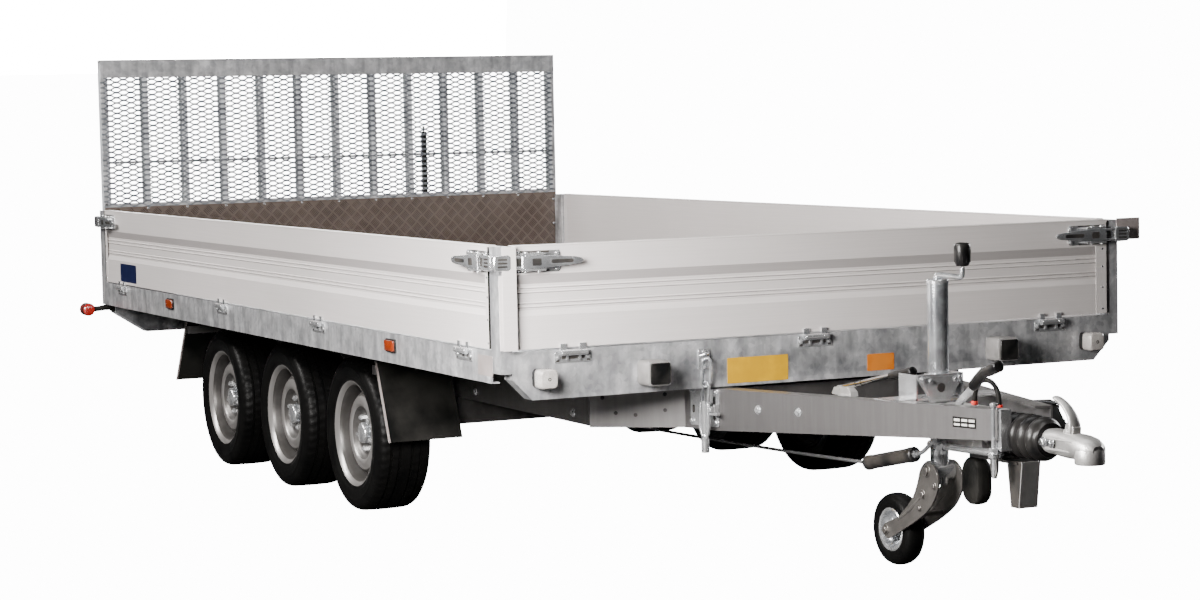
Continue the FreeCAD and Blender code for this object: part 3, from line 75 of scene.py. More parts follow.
class Finish:
    """A material of two colours in soft patches, with fine grain in its roughness and bump."""

    def __init__(self, key, name, low, high, metallic=0.0, rough=(0.4, 0.6), patch=5.0, grain=90.0,
                 stretch=WHITE, bump=0.15, dirt=None, dirt_share=0.25, edge=0.0, **constants):
        M[key] = self.material = bpy.data.materials.new(name)
        self.material.use_nodes = True
        self.nodes, self.links = self.material.node_tree.nodes, self.material.node_tree.links
        self.shader = self.nodes["Principled BSDF"]
        plain, stretched = self.space(stretch)
        middle = tuple((a + b) / 2 for a, b in zip(low, high))
        patches = self.add("TexNoise", stretched, Scale=patch, Detail=6).outputs[0]
        fine = self.add("TexNoise", stretched, Scale=grain, Detail=4).outputs[0]
        colour = self.ramp(patches, list(zip(PATCH_STOPS, (low, middle, high))))
        if dirt:
            spots = self.add("TexNoise", plain, Scale=patch * 0.7, Detail=8).outputs[0]
            share = self.ramp(spots, [(0.5 - dirt_share * 0.2, grey(0.45)), (DIRT_STOP, BLACK)])
            colour = self.mix(share, colour, dirt)
        if edge:
            corners = self.add("NewGeometry").outputs["Pointiness"]
            worn = self.ramp(corners, list(zip(WORN_STOPS, (BLACK, grey(edge)))))
            lighter = min(0.08, 0.3 * high[0])
            colour = self.mix(worn, colour, tuple(min(1.0, c * 1.5 + lighter) for c in high))
        self.links.new(colour, self.shader.inputs["Base Color"])
        span = self.add("MapRange", fine, To_Min=rough[0], To_Max=rough[1])
        self.links.new(span.outputs["Result"], self.shader.inputs["Roughness"])
        if bump:
            self.raise_by(fine, bump, GRAIN_DEPTH)
        for key, value in dict(constants, Metallic=metallic).items():
            self.shader.inputs[key.replace("_", " ")].default_value = value

    def add(self, kind, source=None, socket=0, **values):
        """A node with its inputs set by name, and a link into one of them."""
        node = self.nodes.new("ShaderNode" + kind)
        for key, value in values.items():
            node.inputs[key.replace("_", " ")].default_value = value
        if source:
            self.links.new(source, node.inputs[socket])
        return node

    def space(self, stretch):
        """The object's own space, as it is and stretched."""
        plain = self.add("TexCoord").outputs["Object"]
        return plain, self.add("Mapping", plain, Scale=stretch).outputs["Vector"]

    def ramp(self, source, stops):
        node = self.add("ValToRGB", source)
        elements = node.color_ramp.elements
        while len(elements) < len(stops):
            elements.new(0.5)
        for element, (position, colour) in zip(elements, stops):
            element.position, element.color = position, (*colour, 1)
        return node.outputs["Color"]

    def mix(self, factor, a, b, way="MIX"):
        """A colour mix. Each of the three is a socket to link or a value to set."""
        node = self.add("Mix")
        node.data_type, node.blend_type = "RGBA", way
        for socket, value in zip((0, 6, 7), (factor, a, b)):
            if isinstance(value, bpy.types.NodeSocket):
                self.links.new(value, node.inputs[socket])
            else:
                node.inputs[socket].default_value = (*value, 1) if isinstance(value, tuple) else value
        return node.outputs[2]

    def raise_by(self, height, strength, distance):
        """Adds a bump on top of the one that is already there."""
        node = self.add("Bump", height, "Height", Strength=strength, Distance=distance)
        normal = self.shader.inputs["Normal"]
        if normal.links:
            self.links.new(normal.links[0].from_socket, node.inputs["Normal"])
        self.links.new(node.outputs["Normal"], normal)

    def multiply(self, factor, colour):
        base = self.shader.inputs["Base Color"]
        self.links.new(self.mix(factor, base.links[0].from_socket, colour, "MULTIPLY"), base)

    def overlay(self, kind, stops, dark, scale, share, stretch=WHITE, bump=0.0, distance=None, **values):
        """Darkens the colour by a second pattern, and adds it to the bump where that is set."""
        pattern = self.add(kind, self.space(stretch)[1], Scale=scale, **values)
        if distance:
            pattern.distance = distance
        out = pattern.outputs["Color" if kind == "TexVoronoi" else 0]
        self.multiply(share, self.ramp(out, list(zip(stops, (dark, WHITE)))))
        if bump:
            self.raise_by(out, bump, PATTERN_DEPTH)

    def shade_slopes(self, share):
        """Paints shade on the faces that look down, darker the more they face the ground, as if lit from
        above.
        """
        split = self.add("SeparateXYZ", self.add("TexCoord").outputs["Normal"])
        span = self.add("MapRange", split.outputs["Z"], From_Min=0.08, From_Max=-0.45, To_Min=0.0,
                        To_Max=share)
        self.multiply(span.outputs["Result"], (0.30, 0.29, 0.30))


galvanised = Finish("galvanised", "galvanised_steel", (0.24, 0.25, 0.265), (0.68, 0.68, 0.70), 0.6,
                    (0.26, 0.50),
                    16, 220, bump=0.12, dirt=(0.13, 0.13, 0.135), dirt_share=0.5, edge=0.3)
galvanised.overlay("TexVoronoi", (0.2, 0.8), (0.55, 0.56, 0.58), 70, 0.5)
galvanised.overlay("TexNoise", (0.38, 0.58), (0.45, 0.45, 0.47), 26, 0.6, (1, 1, 0.25), Detail=8)
weathered = Finish("galvanised_dark", "weathered_steel", (0.025, 0.023, 0.023), (0.06, 0.056, 0.055), 0.55,
                   (0.35, 0.6), 6, 200, bump=0.12, dirt=grey(0.10), dirt_share=0.6, edge=0.2)
weathered.overlay("TexVoronoi", (0.2, 0.8), grey(0.7), 50, 0.5)
beam = Finish("beam", "drawbar_steel", (0.06, 0.057, 0.057), (0.125, 0.12, 0.12), 0.75, (0.28, 0.46), 4, 260,
              (0.35, 0.35, 1), bump=0.06, dirt=(0.10, 0.095, 0.09), dirt_share=0.4, edge=0.5)
beam.overlay("TexNoise", (0.4, 0.6), grey(0.8), 60, 0.4, (1, 1, 0.06), Detail=5)
aluminium = Finish("aluminium", "anodised_aluminium", (0.66, 0.62, 0.61), (0.73, 0.69, 0.68), 0.20,
                   (0.38, 0.50),
                   1.5, 420, (0.06, 0.06, 1), bump=0.04, dirt=(0.60, 0.57, 0.55), dirt_share=0.2)
aluminium.overlay("TexNoise", (0.42, 0.58), grey(0.93), 300, 0.6, (0.01, 0.01, 1), Detail=3)
# Painted shade on the panels' downward-facing slopes.
aluminium.shade_slopes(0.9)
plywood = Finish("plywood", "film_plywood", (0.055, 0.040, 0.032), (0.085, 0.064, 0.052), 0, (0.4, 0.6), 4,
                 120,
                 bump=0.1, dirt=(0.15, 0.13, 0.11), dirt_share=0.35)
plywood.overlay("TexVoronoi", (0.1, 0.6), grey(0.7), 160, 0.5, bump=0.5, distance="CHEBYCHEV", Randomness=0.0)

Finish("zinc", "bright_zinc", (0.30, 0.32, 0.34), (0.66, 0.68, 0.71), 0.85, (0.14, 0.30), 30, 300,
       bump=0.06, dirt=(0.16, 0.16, 0.17), dirt_share=0.4, edge=0.5)
Finish("cast_steel", "cast_steel", (0.27, 0.265, 0.26), (0.48, 0.47, 0.46), 0.75, (0.34, 0.52), 20, 380,
       bump=0.5, dirt=(0.22, 0.22, 0.21), dirt_share=0.4, edge=0.4)
Finish("fork_steel", "fork_steel", (0.05, 0.047, 0.045), (0.15, 0.14, 0.13), 0.75, (0.22, 0.42), 26, 380,
       bump=0.5, dirt=(0.03, 0.027, 0.024), dirt_share=0.5, edge=0.5)
Finish("chrome", "chrome", (0.72, 0.70, 0.68), (0.82, 0.80, 0.78), 1.0, (0.08, 0.18), 12, 300,
       bump=0.02, dirt=grey(0.4))
Finish("black_plastic", "black_plastic", (0.0015, 0.0015, 0.0017), (0.003, 0.003, 0.0033), 0, (0.24, 0.38),
       20, 500, bump=0.2, dirt=(0.03, 0.028, 0.026), dirt_share=0.2, edge=0.25, Specular_IOR_Level=0.22)
Finish("black_steel", "black_steel", (0.003, 0.003, 0.0035), (0.008, 0.008, 0.0085), 0.1, (0.3, 0.5), 14, 200,
       bump=0.15, dirt=(0.09, 0.08, 0.07), dirt_share=0.3, edge=0.3)
Finish("rubber", "flap_rubber", (0.0012, 0.0013, 0.0012), (0.0024, 0.0025, 0.0023), 0, (0.42, 0.62), 8, 300,
       bump=0.3, dirt=(0.035, 0.033, 0.03), dirt_share=0.35, edge=0.2, Specular_IOR_Level=0.08)
Finish("tyre", "tyre_rubber", (0.0009, 0.0009, 0.001), grey(0.002), 0, (0.36, 0.5), 18, 260,
       bump=0.25, dirt=(0.004, 0.0038, 0.0035), dirt_share=0.2, edge=0.03, Specular_IOR_Level=0.08)
Finish("wheel_silver", "silver_paint", (0.19, 0.184, 0.18), (0.28, 0.272, 0.266), 0.65, (0.26, 0.40), 12, 500,
       bump=0.05, dirt=(0.24, 0.22, 0.21), dirt_share=0.35, edge=0.2, Coat_Weight=0.3)
# A darker copy of the silver paint: painted shade for the wheel's deep disc and barrel.
Finish("wheel_silver_painted_shade", "silver_paint_painted_shade", (0.075, 0.072, 0.07), (0.125, 0.121, 0.118), 0.6, (0.34, 0.46),
       12, 500, bump=0.05, dirt=(0.05, 0.045, 0.04), dirt_share=0.3)
Finish("tread_plate", "tread_sheet", (0.052, 0.036, 0.029), (0.092, 0.069, 0.056), 0.45, (0.34, 0.52), 9, 300,
       bump=0.1, dirt=(0.07, 0.056, 0.048), dirt_share=0.4, edge=0.6)
Finish("mesh_steel", "mesh_steel", (0.15, 0.16, 0.18), (0.36, 0.38, 0.41), 0.6, (0.26, 0.42), 20, 300,
       bump=0.1, dirt=(0.14, 0.15, 0.17), dirt_share=0.4)
# A lighter copy of the galvanised finish: painted light for the tailgate's ribs.
Finish("rib_steel_painted_light", "rib_steel_painted_light", (0.52, 0.54, 0.57), (0.80, 0.82, 0.85), 0.25, (0.22, 0.40), 20, 300,
       bump=0.1)
Finish("amber_lens", "amber_lens", (0.16, 0.018, 0.003), (0.24, 0.032, 0.005), 0, (0.12, 0.25), 30, 300,
       bump=0.03, Coat_Weight=0.6, Transmission_Weight=0.15)
Finish("red_lens", "red_lens", (0.38, 0.012, 0.010), (0.52, 0.03, 0.02), 0, (0.12, 0.24), 30, 300,
       bump=0.03, Coat_Weight=0.6, Transmission_Weight=0.15)
Finish("clear_lens", "frosted_lens", (0.32, 0.30, 0.285), (0.44, 0.42, 0.40), 0.1, (0.18, 0.35), 40, 300,
       bump=0.05, Coat_Weight=0.4)
Finish("plate_white", "plate_white", (0.62, 0.61, 0.58), (0.74, 0.73, 0.70), 0.1, (0.35, 0.5), 15, 300,
       bump=0.05, dirt=(0.45, 0.43, 0.40), dirt_share=0.3)
Finish("plate_grey", "plate_grey", (0.30, 0.26, 0.25), (0.42, 0.37, 0.36), 0.4, (0.3, 0.45), 15, 300,
       bump=0.05)
Finish("sign_yellow", "sign_yellow", (0.50, 0.27, 0.0), (0.56, 0.31, 0.0), 0, (0.35, 0.5), 20, 300,
       bump=0.03, dirt=(0.32, 0.17, 0.004))
Finish("sign_orange", "sign_orange", (0.36, 0.085, 0.0), (0.44, 0.105, 0.0), 0, (0.35, 0.5), 20, 300,
       bump=0.03, dirt=(0.55, 0.2, 0.03))
Finish("sign_blue", "sign_blue", (0.002, 0.0045, 0.028), (0.004, 0.007, 0.04), 0, (0.3, 0.45), 20, 300,
       bump=0.03)
Finish("grey_plastic", "grey_plastic", (0.13, 0.125, 0.12), (0.20, 0.19, 0.185), 0.15, (0.35, 0.5), 20, 400,
       bump=0.1, dirt=(0.28, 0.27, 0.26))
Finish("red_plastic", "red_plastic", (0.55, 0.02, 0.015), (0.70, 0.05, 0.03), 0, (0.3, 0.45), 30, 300,
       bump=0.05)


# --- Mesh building ----------------------------------------------------------------------

PUT = {"x": lambda u, v, w: (w, u, v), "y": lambda u, v, w: (u, w, v), "z": lambda u, v, w: (u, v, w)}
AXES = {"x": (1, 0, 0), "y": (0, 1, 0), "z": (0, 0, 1)}
BOX_FACES = [(0, 1, 3, 2), (4, 6, 7, 5), (0, 4, 5, 1), (2, 3, 7, 6), (0, 2, 6, 4), (1, 5, 7, 3)]
POINT_RADIUS = 0.01


def placed(origin, axis):
    """Moves to an origin and turns local Z onto the axis."""
    v = AXES[axis] if isinstance(axis, str) else axis
    return Matrix.Translation(origin) @ Vector(v).to_track_quat("Z", "Y").to_matrix().to_4x4()


def polar(radius, degrees):
    return radius * math.cos(math.radians(degrees)), radius * math.sin(math.radians(degrees))


def circle(radius, along, steps):
    turns = [2 * math.pi * i / steps for i in range(steps)]
    return [(radius * math.cos(a), radius * math.sin(a), along) for a in turns]


def rounded(size, centre=(0, 0), corner=5):
    """The outline of a rounded rectangle: (width, height, corner radius)."""
    width, height, radius = size
    out = []
    for cx, cy, start in ((1, 1, 0), (-1, 1, 90), (-1, -1, 180), (1, -1, 270)):
        for k in range(corner + 1):
            x, y = polar(radius, start + 90 * k / corner)
            out.append((cx * (width / 2 - radius) + x + centre[0],
                        cy * (height / 2 - radius) + y + centre[1]))
    return out


def on_curve(a, b, c, d, t):
    """A Catmull-Rom curve's point from b to c."""
    square, cube = 2 * a - 5 * b + 4 * c - d, 3 * b - a - 3 * c + d
    return 0.5 * ((2 * b) + (c - a) * t + square * t ** 2 + cube * t ** 3)


def curved(points, radii, steps):
    """Points and radii along a smooth curve through the given ones."""
    out, sizes = [], []
    ends = [points[0]] + points + [points[-1]]
    for i in range(len(points) - 1):
        for k in range(steps):
            out.append(on_curve(*ends[i:i + 4], k / steps))
            sizes.append(radii[i] + (radii[i + 1] - radii[i]) * k / steps)
    return out + [points[-1]], sizes + [radii[-1]]


def smooth_outline(points, steps=4):
    """A closed outline that curves through the given points."""
    ring = [Vector(p) for p in points]
    n = len(ring)
    corners = [[ring[(i + k) % n] for k in (-1, 0, 1, 2)] for i in range(n)]
    return [tuple(on_curve(*four, k / steps)) for four in corners for k in range(steps)]


class Piece:
    """One mesh in the making. Every shape is in millimetres of its current frame."""

    def __init__(self, name, where=HOME):
        self.name, self.m, self.bm = name, where, bmesh.new()

    def shape(self, points, faces):
        made = [self.bm.verts.new(self.m @ Vector(p)) for p in points]
        for face in faces:
            self.bm.faces.new([made[i] for i in face])

    def block(self, low, high):
        (a, b, c), (d, e, f) = low, high
        self.shape([(x, y, z) for x in (a, d) for y in (b, e) for z in (c, f)], BOX_FACES)

    def prism(self, outline, axis, low, high):
        """A polygon pushed along an axis: (x, z) along y, (y, z) along x, (x, y) along z."""
        n = len(outline)
        faces = [tuple(range(n)), tuple(range(2 * n - 1, n - 1, -1))]
        faces += [(i, (i + 1) % n, n + (i + 1) % n, n + i) for i in range(n)]
        self.shape([PUT[axis](u, v, w) for w in sorted((low, high)) for u, v in outline], faces)

    def plate(self, size, centre, axis, low, high, corner=5):
        """A rounded rectangle pushed along an axis."""
        self.prism(rounded(size, centre, corner), axis, low, high)

    def puffed(self, outline, axis, levels):
        """A prism whose outline is scaled a little at each level: (distance, scale)."""
        cx, cy = (sum(p[k] for p in outline) / len(outline) for k in (0, 1))
        self.rings([[PUT[axis](cx + (u - cx) * s, cy + (v - cy) * s, w) for u, v in outline]
                    for w, s in levels])

    def pad(self, size, centre, axis, levels, corner=5):
        """A rounded rectangle that is scaled a little at each level."""
        self.puffed(rounded(size, centre, corner), axis, levels)

    def rings(self, rings, closed=False):
        """A skin over rings that have the same number of points, capped unless it closes."""
        n, count, faces = len(rings[0]), len(rings), []
        for k in range(count if closed else count - 1):
            a, b = k * n, ((k + 1) % count) * n
            faces += [(a + i, a + (i + 1) % n, b + (i + 1) % n, b + i) for i in range(n)]
        if not closed:
            faces += [tuple(range(n - 1, -1, -1)), tuple((count - 1) * n + i for i in range(n))]
        self.shape([p for ring in rings for p in ring], faces)

    def lathe(self, profile, origin=(0, 0, 0), axis="z", steps=40, closed=False):
        """Turns (radius, distance) about an axis through the origin."""
        turn = placed(origin, axis)
        self.rings([[turn @ Vector(p) for p in circle(max(radius, POINT_RADIUS), along, steps)]
                    for radius, along in profile], closed)

    def tube(self, points, radius, sides=14, smooth=0, flat=1.0):
        """A bar along points, thinner at the listed radii, rounded through them where smooth."""
        points = [Vector(p) for p in points]
        radii = list(radius) if hasattr(radius, "__len__") else [radius] * len(points)
        if smooth:
            points, radii = curved(points, radii, smooth)
        side, rings = None, []
        for i, p in enumerate(points):
            ahead = (points[min(i + 1, len(points) - 1)] - points[max(i - 1, 0)]).normalized()
            if side is None and abs(ahead.y) < 0.95:
                side = Vector((0, 1, 0)) - ahead * ahead.y
            elif side is None:
                side = ahead.orthogonal()
            side.normalize()
            side = (side - ahead * side.dot(ahead)).normalized()
            up = ahead.cross(side) * flat
            rings.append([p + radii[i] * (side * c + up * s) for c, s, _ in circle(1, 0, sides)])
        self.rings(rings)

    def pin(self, x, z, half, radius, sides, y=0):
        """A round bar across the trailer."""
        self.tube([(x, y - half, z), (x, y + half, z)], radius, sides)

    def bolts(self, places, axis, radius=8, height=6):
        """Bolt heads on washers."""
        old = self.m
        for where in places:
            self.m = old @ placed(where, axis)
            self.lathe([(0, 0), (radius * 1.35, 0), (radius * 1.45, 0.8), (radius * 1.35, 1.8), (0, 1.8)],
                       steps=20)
            head = [(s * radius, z) for s, z in ((1, 1.8), (1, height - 1), (0.86, height))]
            self.rings([circle(r, z, 6) for r, z in head])
        self.m = old

    def domes(self, places, axis, radius=4, height=2):
        """Rivet heads."""
        old = self.m
        for where in places:
            self.m = old @ placed(where, axis)
            levels = ((1, 0), (0.94, 0.5), (0.6, 0.88), (0.2, 1))
            self.lathe([(radius * r, height * h) for r, h in levels], steps=12)
        self.m = old

    def mesh(self):
        bmesh.ops.remove_doubles(self.bm, verts=self.bm.verts, dist=1e-6)
        bmesh.ops.recalc_face_normals(self.bm, faces=self.bm.faces)
        mesh = bpy.data.meshes.new(self.name)
        self.bm.to_mesh(mesh)
        self.bm.free()
        return mesh

    def finish(self, look, body, **settings):
        """Turns the shapes into an object that rides on its body."""
        as_object(self.name, self.mesh(), look, body, **settings)


def as_object(name, mesh, look, body, slot=None, replaces=None, bevel=0.0, angle=32, thick=0.0, where=None):
    o = bpy.data.objects.new(name, mesh)
    bpy.context.scene.collection.objects.link(o)
    mesh.materials.append(M[look])
    mesh.shade_smooth()
    mesh.set_sharp_from_angle(angle=math.radians(angle))
    if thick:
        skin = o.modifiers.new("thickness", "SOLIDIFY")
        skin.thickness, skin.offset = thick / 1000, 0
    if bevel:
        edge = o.modifiers.new("edges", "BEVEL")
        edge.width, edge.segments, edge.limit_method = bevel / 1000, 2, "ANGLE"
        edge.angle_limit = math.radians(angle)
        edge.harden_normals = True
    if where is not None:
        mesh.transform(where)
    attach(o, body)
    if replaces:
        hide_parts(replaces)


# --- CAD nodes that stay ----------------------------------------------------------------

FINISHES = {
    "galvanised": "front_beam rear_beam side_rails bed_runners bed_crossmembers corner_posts",
    "beam": "left_chassis_beam right_chassis_beam",
    "galvanised_dark": "chassis_crossmembers axles",
    "aluminium": "left_panel right_panel front_panel",
    "zinc": "drop_side_hinges jockey_leg",
    "plywood": "floor",
    "rubber": "mudflaps bed_pads",
    "rib_steel_painted_light": "tailgate_frame",
    "black_steel": "tilt_cylinder_barrel",
    "chrome": "tilt_cylinder_rod",
}
for look, names in FINISHES.items():
    for name in names.split():
        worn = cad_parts[name].data.materials
        worn.clear()
        worn.append(M[look])

# --- Wheels -----------------------------------------------------------------------------
# A wheel's own frame has its axle along Z, which points away from the trailer.

TYRE_STEPS, DISC_STEPS = 216, 180
# For each kind of groove: every how many steps, at which step outside and inside, how deep.
GROOVES = {0: (1, (1, 1), 0), 1: (4, (0, 0), 0.9), 2: (4, (0, 0), 2.6), 3: (4, (1, 3), 2.5),
           4: (8, (5, 5), 2.0)}
SWEPT_FROM, SWEEP, SWEEP_END = 2, 0.00045, 70
# Radius, distance from the tyre's middle plane and kind of groove.
HALF_TREAD = [
    (168, 72, 0), (170, 79, 0), (176, 86, 0), (184, 90, 0), (188, 90.5, 0), (190, 92, 0), (200, 95.5, 0),
    (212, 97.3, 0), (222, 97.4, 0), (225, 98.2, 0), (228, 96.8, 0), (238, 94.5,
                                                                     0), (246, 91, 1), (253, 86, 1),
    (257.5, 79, 2), (260.3, 70, 2), (261.2, 62, 2), (261.4, 57.5, 0), (253.5, 56, 0), (253.5, 49, 0),
    (261.7, 47.5, 3), (262.2, 36, 3), (262.3, 26.5, 0), (254.5, 25, 0), (254.5, 18, 0), (262.4, 16.5, 4),
    (262.5, 5, 4)]
BORE = (164, 0, 0)
DISC = [(161, 12), (156, 14), (151, 22), (146, 30), (141, 36), (136, 41), (131, 45), (122, 50), (114, 54),
        (106, 57), (100, 57.5), (94, 56), (89, 52), (84, 45), (79, 39), (72, 36), (60, 35), (48, 35.5),
        (42, 36.5), (37, 38)]
# Rows of the disc that a vent slot cuts, with its half width in degrees.
VENT_ROWS = {3: 3, 4: 4, 5: 3}
VENT_PITCH, VENT_OFFSET = 36, 8


def tyre_ring(radius, along, kind):
    """One ring of the tyre's skin, with its grooves and the tread's slight sweep."""
    every, phases, depth = GROOVES[kind]
    sweep = SWEEP * (SWEEP_END - abs(along)) * (1 if along > 0 else -1) if kind >= SWEPT_FROM else 0
    ring = []
    for i in range(TYRE_STEPS):
        r = radius - (depth if i % every == phases[along <= 0] else 0)
        a = 2 * math.pi * i / TYRE_STEPS + sweep
        ring.append((r * math.cos(a), r * math.sin(a), along))
    return ring


def tyre_mesh():
    tyre = Piece("tyre", MM)
    profile = HALF_TREAD + [(r, -z, kind) for r, z, kind in reversed(HALF_TREAD)] + [BORE]
    tyre.rings([tyre_ring(*row) for row in profile], closed=True)
    return tyre.mesh()


def vented_disc(disc):
    """The wheel's pressed disc, with paired vent slots near its edge."""
    faces = []
    for row in range(len(DISC) - 1):
        a, b = row * DISC_STEPS, (row + 1) * DISC_STEPS
        for i in range(DISC_STEPS):
            phase = (i * 360 // DISC_STEPS) % VENT_PITCH - VENT_PITCH // 2
            if row in VENT_ROWS and abs(abs(phase + 1) - VENT_OFFSET) <= VENT_ROWS[row]:
                continue
            j = (i + 1) % DISC_STEPS
            faces.append((a + i, b + i, b + j, a + j))
    disc.shape([p for r, z in DISC for p in circle(r, z, DISC_STEPS)], faces)


def rim_pieces():
    """The wheel's other pieces, each with its finish."""
    disc, ring, barrel, hub, drum = (Piece("wheel_" + n, MM)
                                     for n in ("disc", "ring", "barrel", "hub", "drum"))
    vented_disc(disc)
    ring.lathe([(125, 50), (124, 53.5), (115, 57.5), (107, 60), (100, 60.5), (94, 59), (90, 55), (92, 52),
                (100, 54), (107, 53.5), (115, 50.5)], steps=90, closed=True)
    ring.lathe([(166.8, 73), (171.5, 80.5), (178.4, 85.3), (180, 86.4), (178, 87.4), (170, 82.5),
                (164, 74.2)],
               steps=90, closed=True)
    barrel.lathe([(160.5, -76), (160.5, 10), (161.5, 60), (164, 74), (170, 82), (178, 87), (179.6, 85),
                  (178.5, 83), (171, 78), (167.6, 72), (167.6, -72), (171, -78), (178.5, -83), (179.6, -85),
                  (178, -87), (170, -82), (164, -76)], steps=110, closed=True)
    hub.lathe([(30, 61), (33, 59), (34.5, 54), (34.8, 44), (37, 38), (52, 34), (58, 20), (60, -20), (40, -22),
               (22.2, -24), (22.2, 40), (22, 58), (20, 60.5)])
    for k in range(5):
        x, y = polar(56, 90 + 72 * k)
        hub.bolts([(x, y, 34)], "z", 10.5, 17)
        hub.lathe([(7, 49), (6.2, 54), (2, 56)], (x, y, 0), steps=14)
    drum.lathe([(24, -84), (112, -84), (115, -80), (115, -30), (108, -24), (62, -18), (24, -18)], steps=60)
    # The disc and barrel wear the darker copy of the silver paint, as painted shade.
    looks = ("wheel_silver_painted_shade", "wheel_silver", "wheel_silver_painted_shade", "zinc", "black_steel")
    return zip((disc, ring, barrel, hub, drum), looks)


def wheel(name, x, sign, spin, tyre, rim):
    """One road wheel at its place, turned about its axle in degrees."""
    pose = (Matrix.Translation((BED + x / 1000, sign * 0.8745, 0.2625))
            @ Matrix.Rotation(math.radians(-90 * sign), 4, "X") @ Matrix.Rotation(math.radians(spin), 4, "Z"))
    body = name + "_wheel"
    as_object(name + "_tyre_tread", tyre.copy(), "tyre", body, replaces=name + "_tyre", where=pose, angle=40)
    for mesh, look in rim:
        extra = {"replaces": name + "_rim", "thick": 3.5} if mesh.name == "wheel_disc" else {}
        slot = "wheel_silver" if look == "wheel_silver_painted_shade" else look
        as_object(name + "_" + mesh.name, mesh.copy(), look, body, slot, where=pose, angle=40, **extra)


tyre = tyre_mesh()
rim = [(piece.mesh(), look) for piece, look in rim_pieces()]
for name, x, sign, spin in (("front_left", -1509, 1, 0), ("front_right", -1509, -1, 102),
                            ("middle_left", -2209, 1, 85), ("middle_right", -2209, -1, 68),
                            ("rear_left", -2909, 1, 51), ("rear_right", -2909, -1, 34)):
    wheel(name, x, sign, spin, tyre, rim)

# --- Tailgate skin ----------------------------------------------------------------------

GATE_FACE = -(BED_LENGTH + 5)
GATE_HALF = 1050
PITCH, RISE = 62.0, 10.9
MESH_LOW, MESH_HIGH, MESH_HALF = 966.0, 1512.0, 1046.0
STRAND = ((-2.9, -2.4), (-0.2, -4.4), (-0.2, 1.8), (-2.9, 3.6))
KNOT = ((-2.9, -2.8), (0, -5.0), (0, 2.4), (-2.9, 4.4))
AROUND = [(0, 1, 5, 4), (1, 2, 6, 5), (2, 3, 7, 6), (3, 0, 4, 7)]


def strand(p, section, ends, faces):
    """A flat strand of the mesh between two places (y, z) on the gate's face."""
    p.shape([(GATE_FACE + dx, y, z + dz) for y, z in ends for dx, dz in section], faces)


def expanded_mesh():
    """Slit and stretched sheet: two strands climb from each knot to its neighbours above."""
    p = Piece("gate_expanded_mesh")
    for row in range(int((MESH_HIGH - MESH_LOW) / RISE)):
        z = MESH_LOW + row * RISE
        for k in range(int(2 * MESH_HALF / PITCH) + 1):
            y = -MESH_HALF + (k + 0.5 * (row % 2)) * PITCH
            for way in SIGNS:
                far, knot = y + way * PITCH / 2, way * PITCH * 0.09
                if max(abs(y), abs(far)) <= MESH_HALF + 1:
                    strand(p, STRAND, ((y + knot, z), (far - knot, z + RISE)), AROUND)
            if abs(y) <= MESH_HALF:
                knot = PITCH * 0.10
                strand(p, KNOT, ((y - knot, z), (y + knot, z)), AROUND + [(0, 3, 2, 1), (4, 5, 6, 7)])
    p.finish("mesh_steel", "tailgate", replaces="tailgate_mesh")


TREAD_LOW, TREAD_HIGH, TREAD_CELL, TREAD_GAP = 655, 970, 40.0, 7.2
TREAD_BAR = ((-18, 0, 0), (-12, -2.3, 0), (12, -2.3, 0), (18, 0, 0), (12, 2.3, 0), (-12, 2.3, 0), (-12, 0, 1),
             (12, 0, 1))
TREAD_FACES = [(0, 1, 6), (1, 2, 7, 6), (2, 3, 7), (3, 4, 7), (4, 5, 6, 7), (5, 0, 6)]


def tread_plate():
    """A sheet with raised bars in small squares that turn by a right angle from one to the next."""
    p = Piece("gate_tread_sheet")
    p.block((GATE_FACE - 3, -GATE_HALF, TREAD_LOW), (GATE_FACE - 1.2, GATE_HALF, TREAD_HIGH))
    diagonal = TREAD_CELL * math.sqrt(2)
    for row in range(int((TREAD_HIGH - TREAD_LOW) / (diagonal / 2)) + 1):
        uy, uz = polar(1, 45 if row % 2 else -45)
        z = TREAD_LOW + row * diagonal / 2
        for column in range(int(2 * GATE_HALF / diagonal) + 1):
            y = -GATE_HALF + (column + 0.5 * (row % 2)) * diagonal
            for k in range(-2, 3):
                cy, cz = y - uz * k * TREAD_GAP, z + uy * k * TREAD_GAP
                if -1034 < cy < 1034 and 668 < cz < 955:
                    p.shape([(GATE_FACE - 1.25 + lift * 1.25, cy + uy * u - uz * v, cz + uz * u + uy * v)
                             for u, v, lift in TREAD_BAR], TREAD_FACES)
    p.finish("tread_plate", "tailgate", replaces="tailgate_plate")


def gate_screws():
    """Rows of screw heads along the tread sheet and up the gate's sides."""
    p = Piece("gate_screws")
    places = [(172 * k, z) for k in range(-5, 6) for z in (672, 955)]
    places += [(sign * 1036, z) for z in (700, 820, 930, 1040, 1150, 1260, 1370, 1480) for sign in SIGNS]
    p.domes([(GATE_FACE - 1.2, y, z) for y, z in places], "x", 6, 1.2)
    p.finish("zinc", "tailgate")


expanded_mesh()
tread_plate()
gate_screws()

gate = Piece("gate_trim")
for sign in SIGNS:
    gate.block((GATE_FACE - 4, sign * 1050 - 16 * (sign > 0), 970),
               (GATE_FACE - 0.3, sign * 1050 + 16 * (sign < 0), 1508))
gate.block((GATE_FACE - 3, -1050, 962), (GATE_FACE - 0.3, 1050, 978))
gate.tube([(GATE_FACE - 20, -1030, 1150), (GATE_FACE - 20, 1030, 1150)], 5)
gate.finish("galvanised", "tailgate", bevel=0.8)
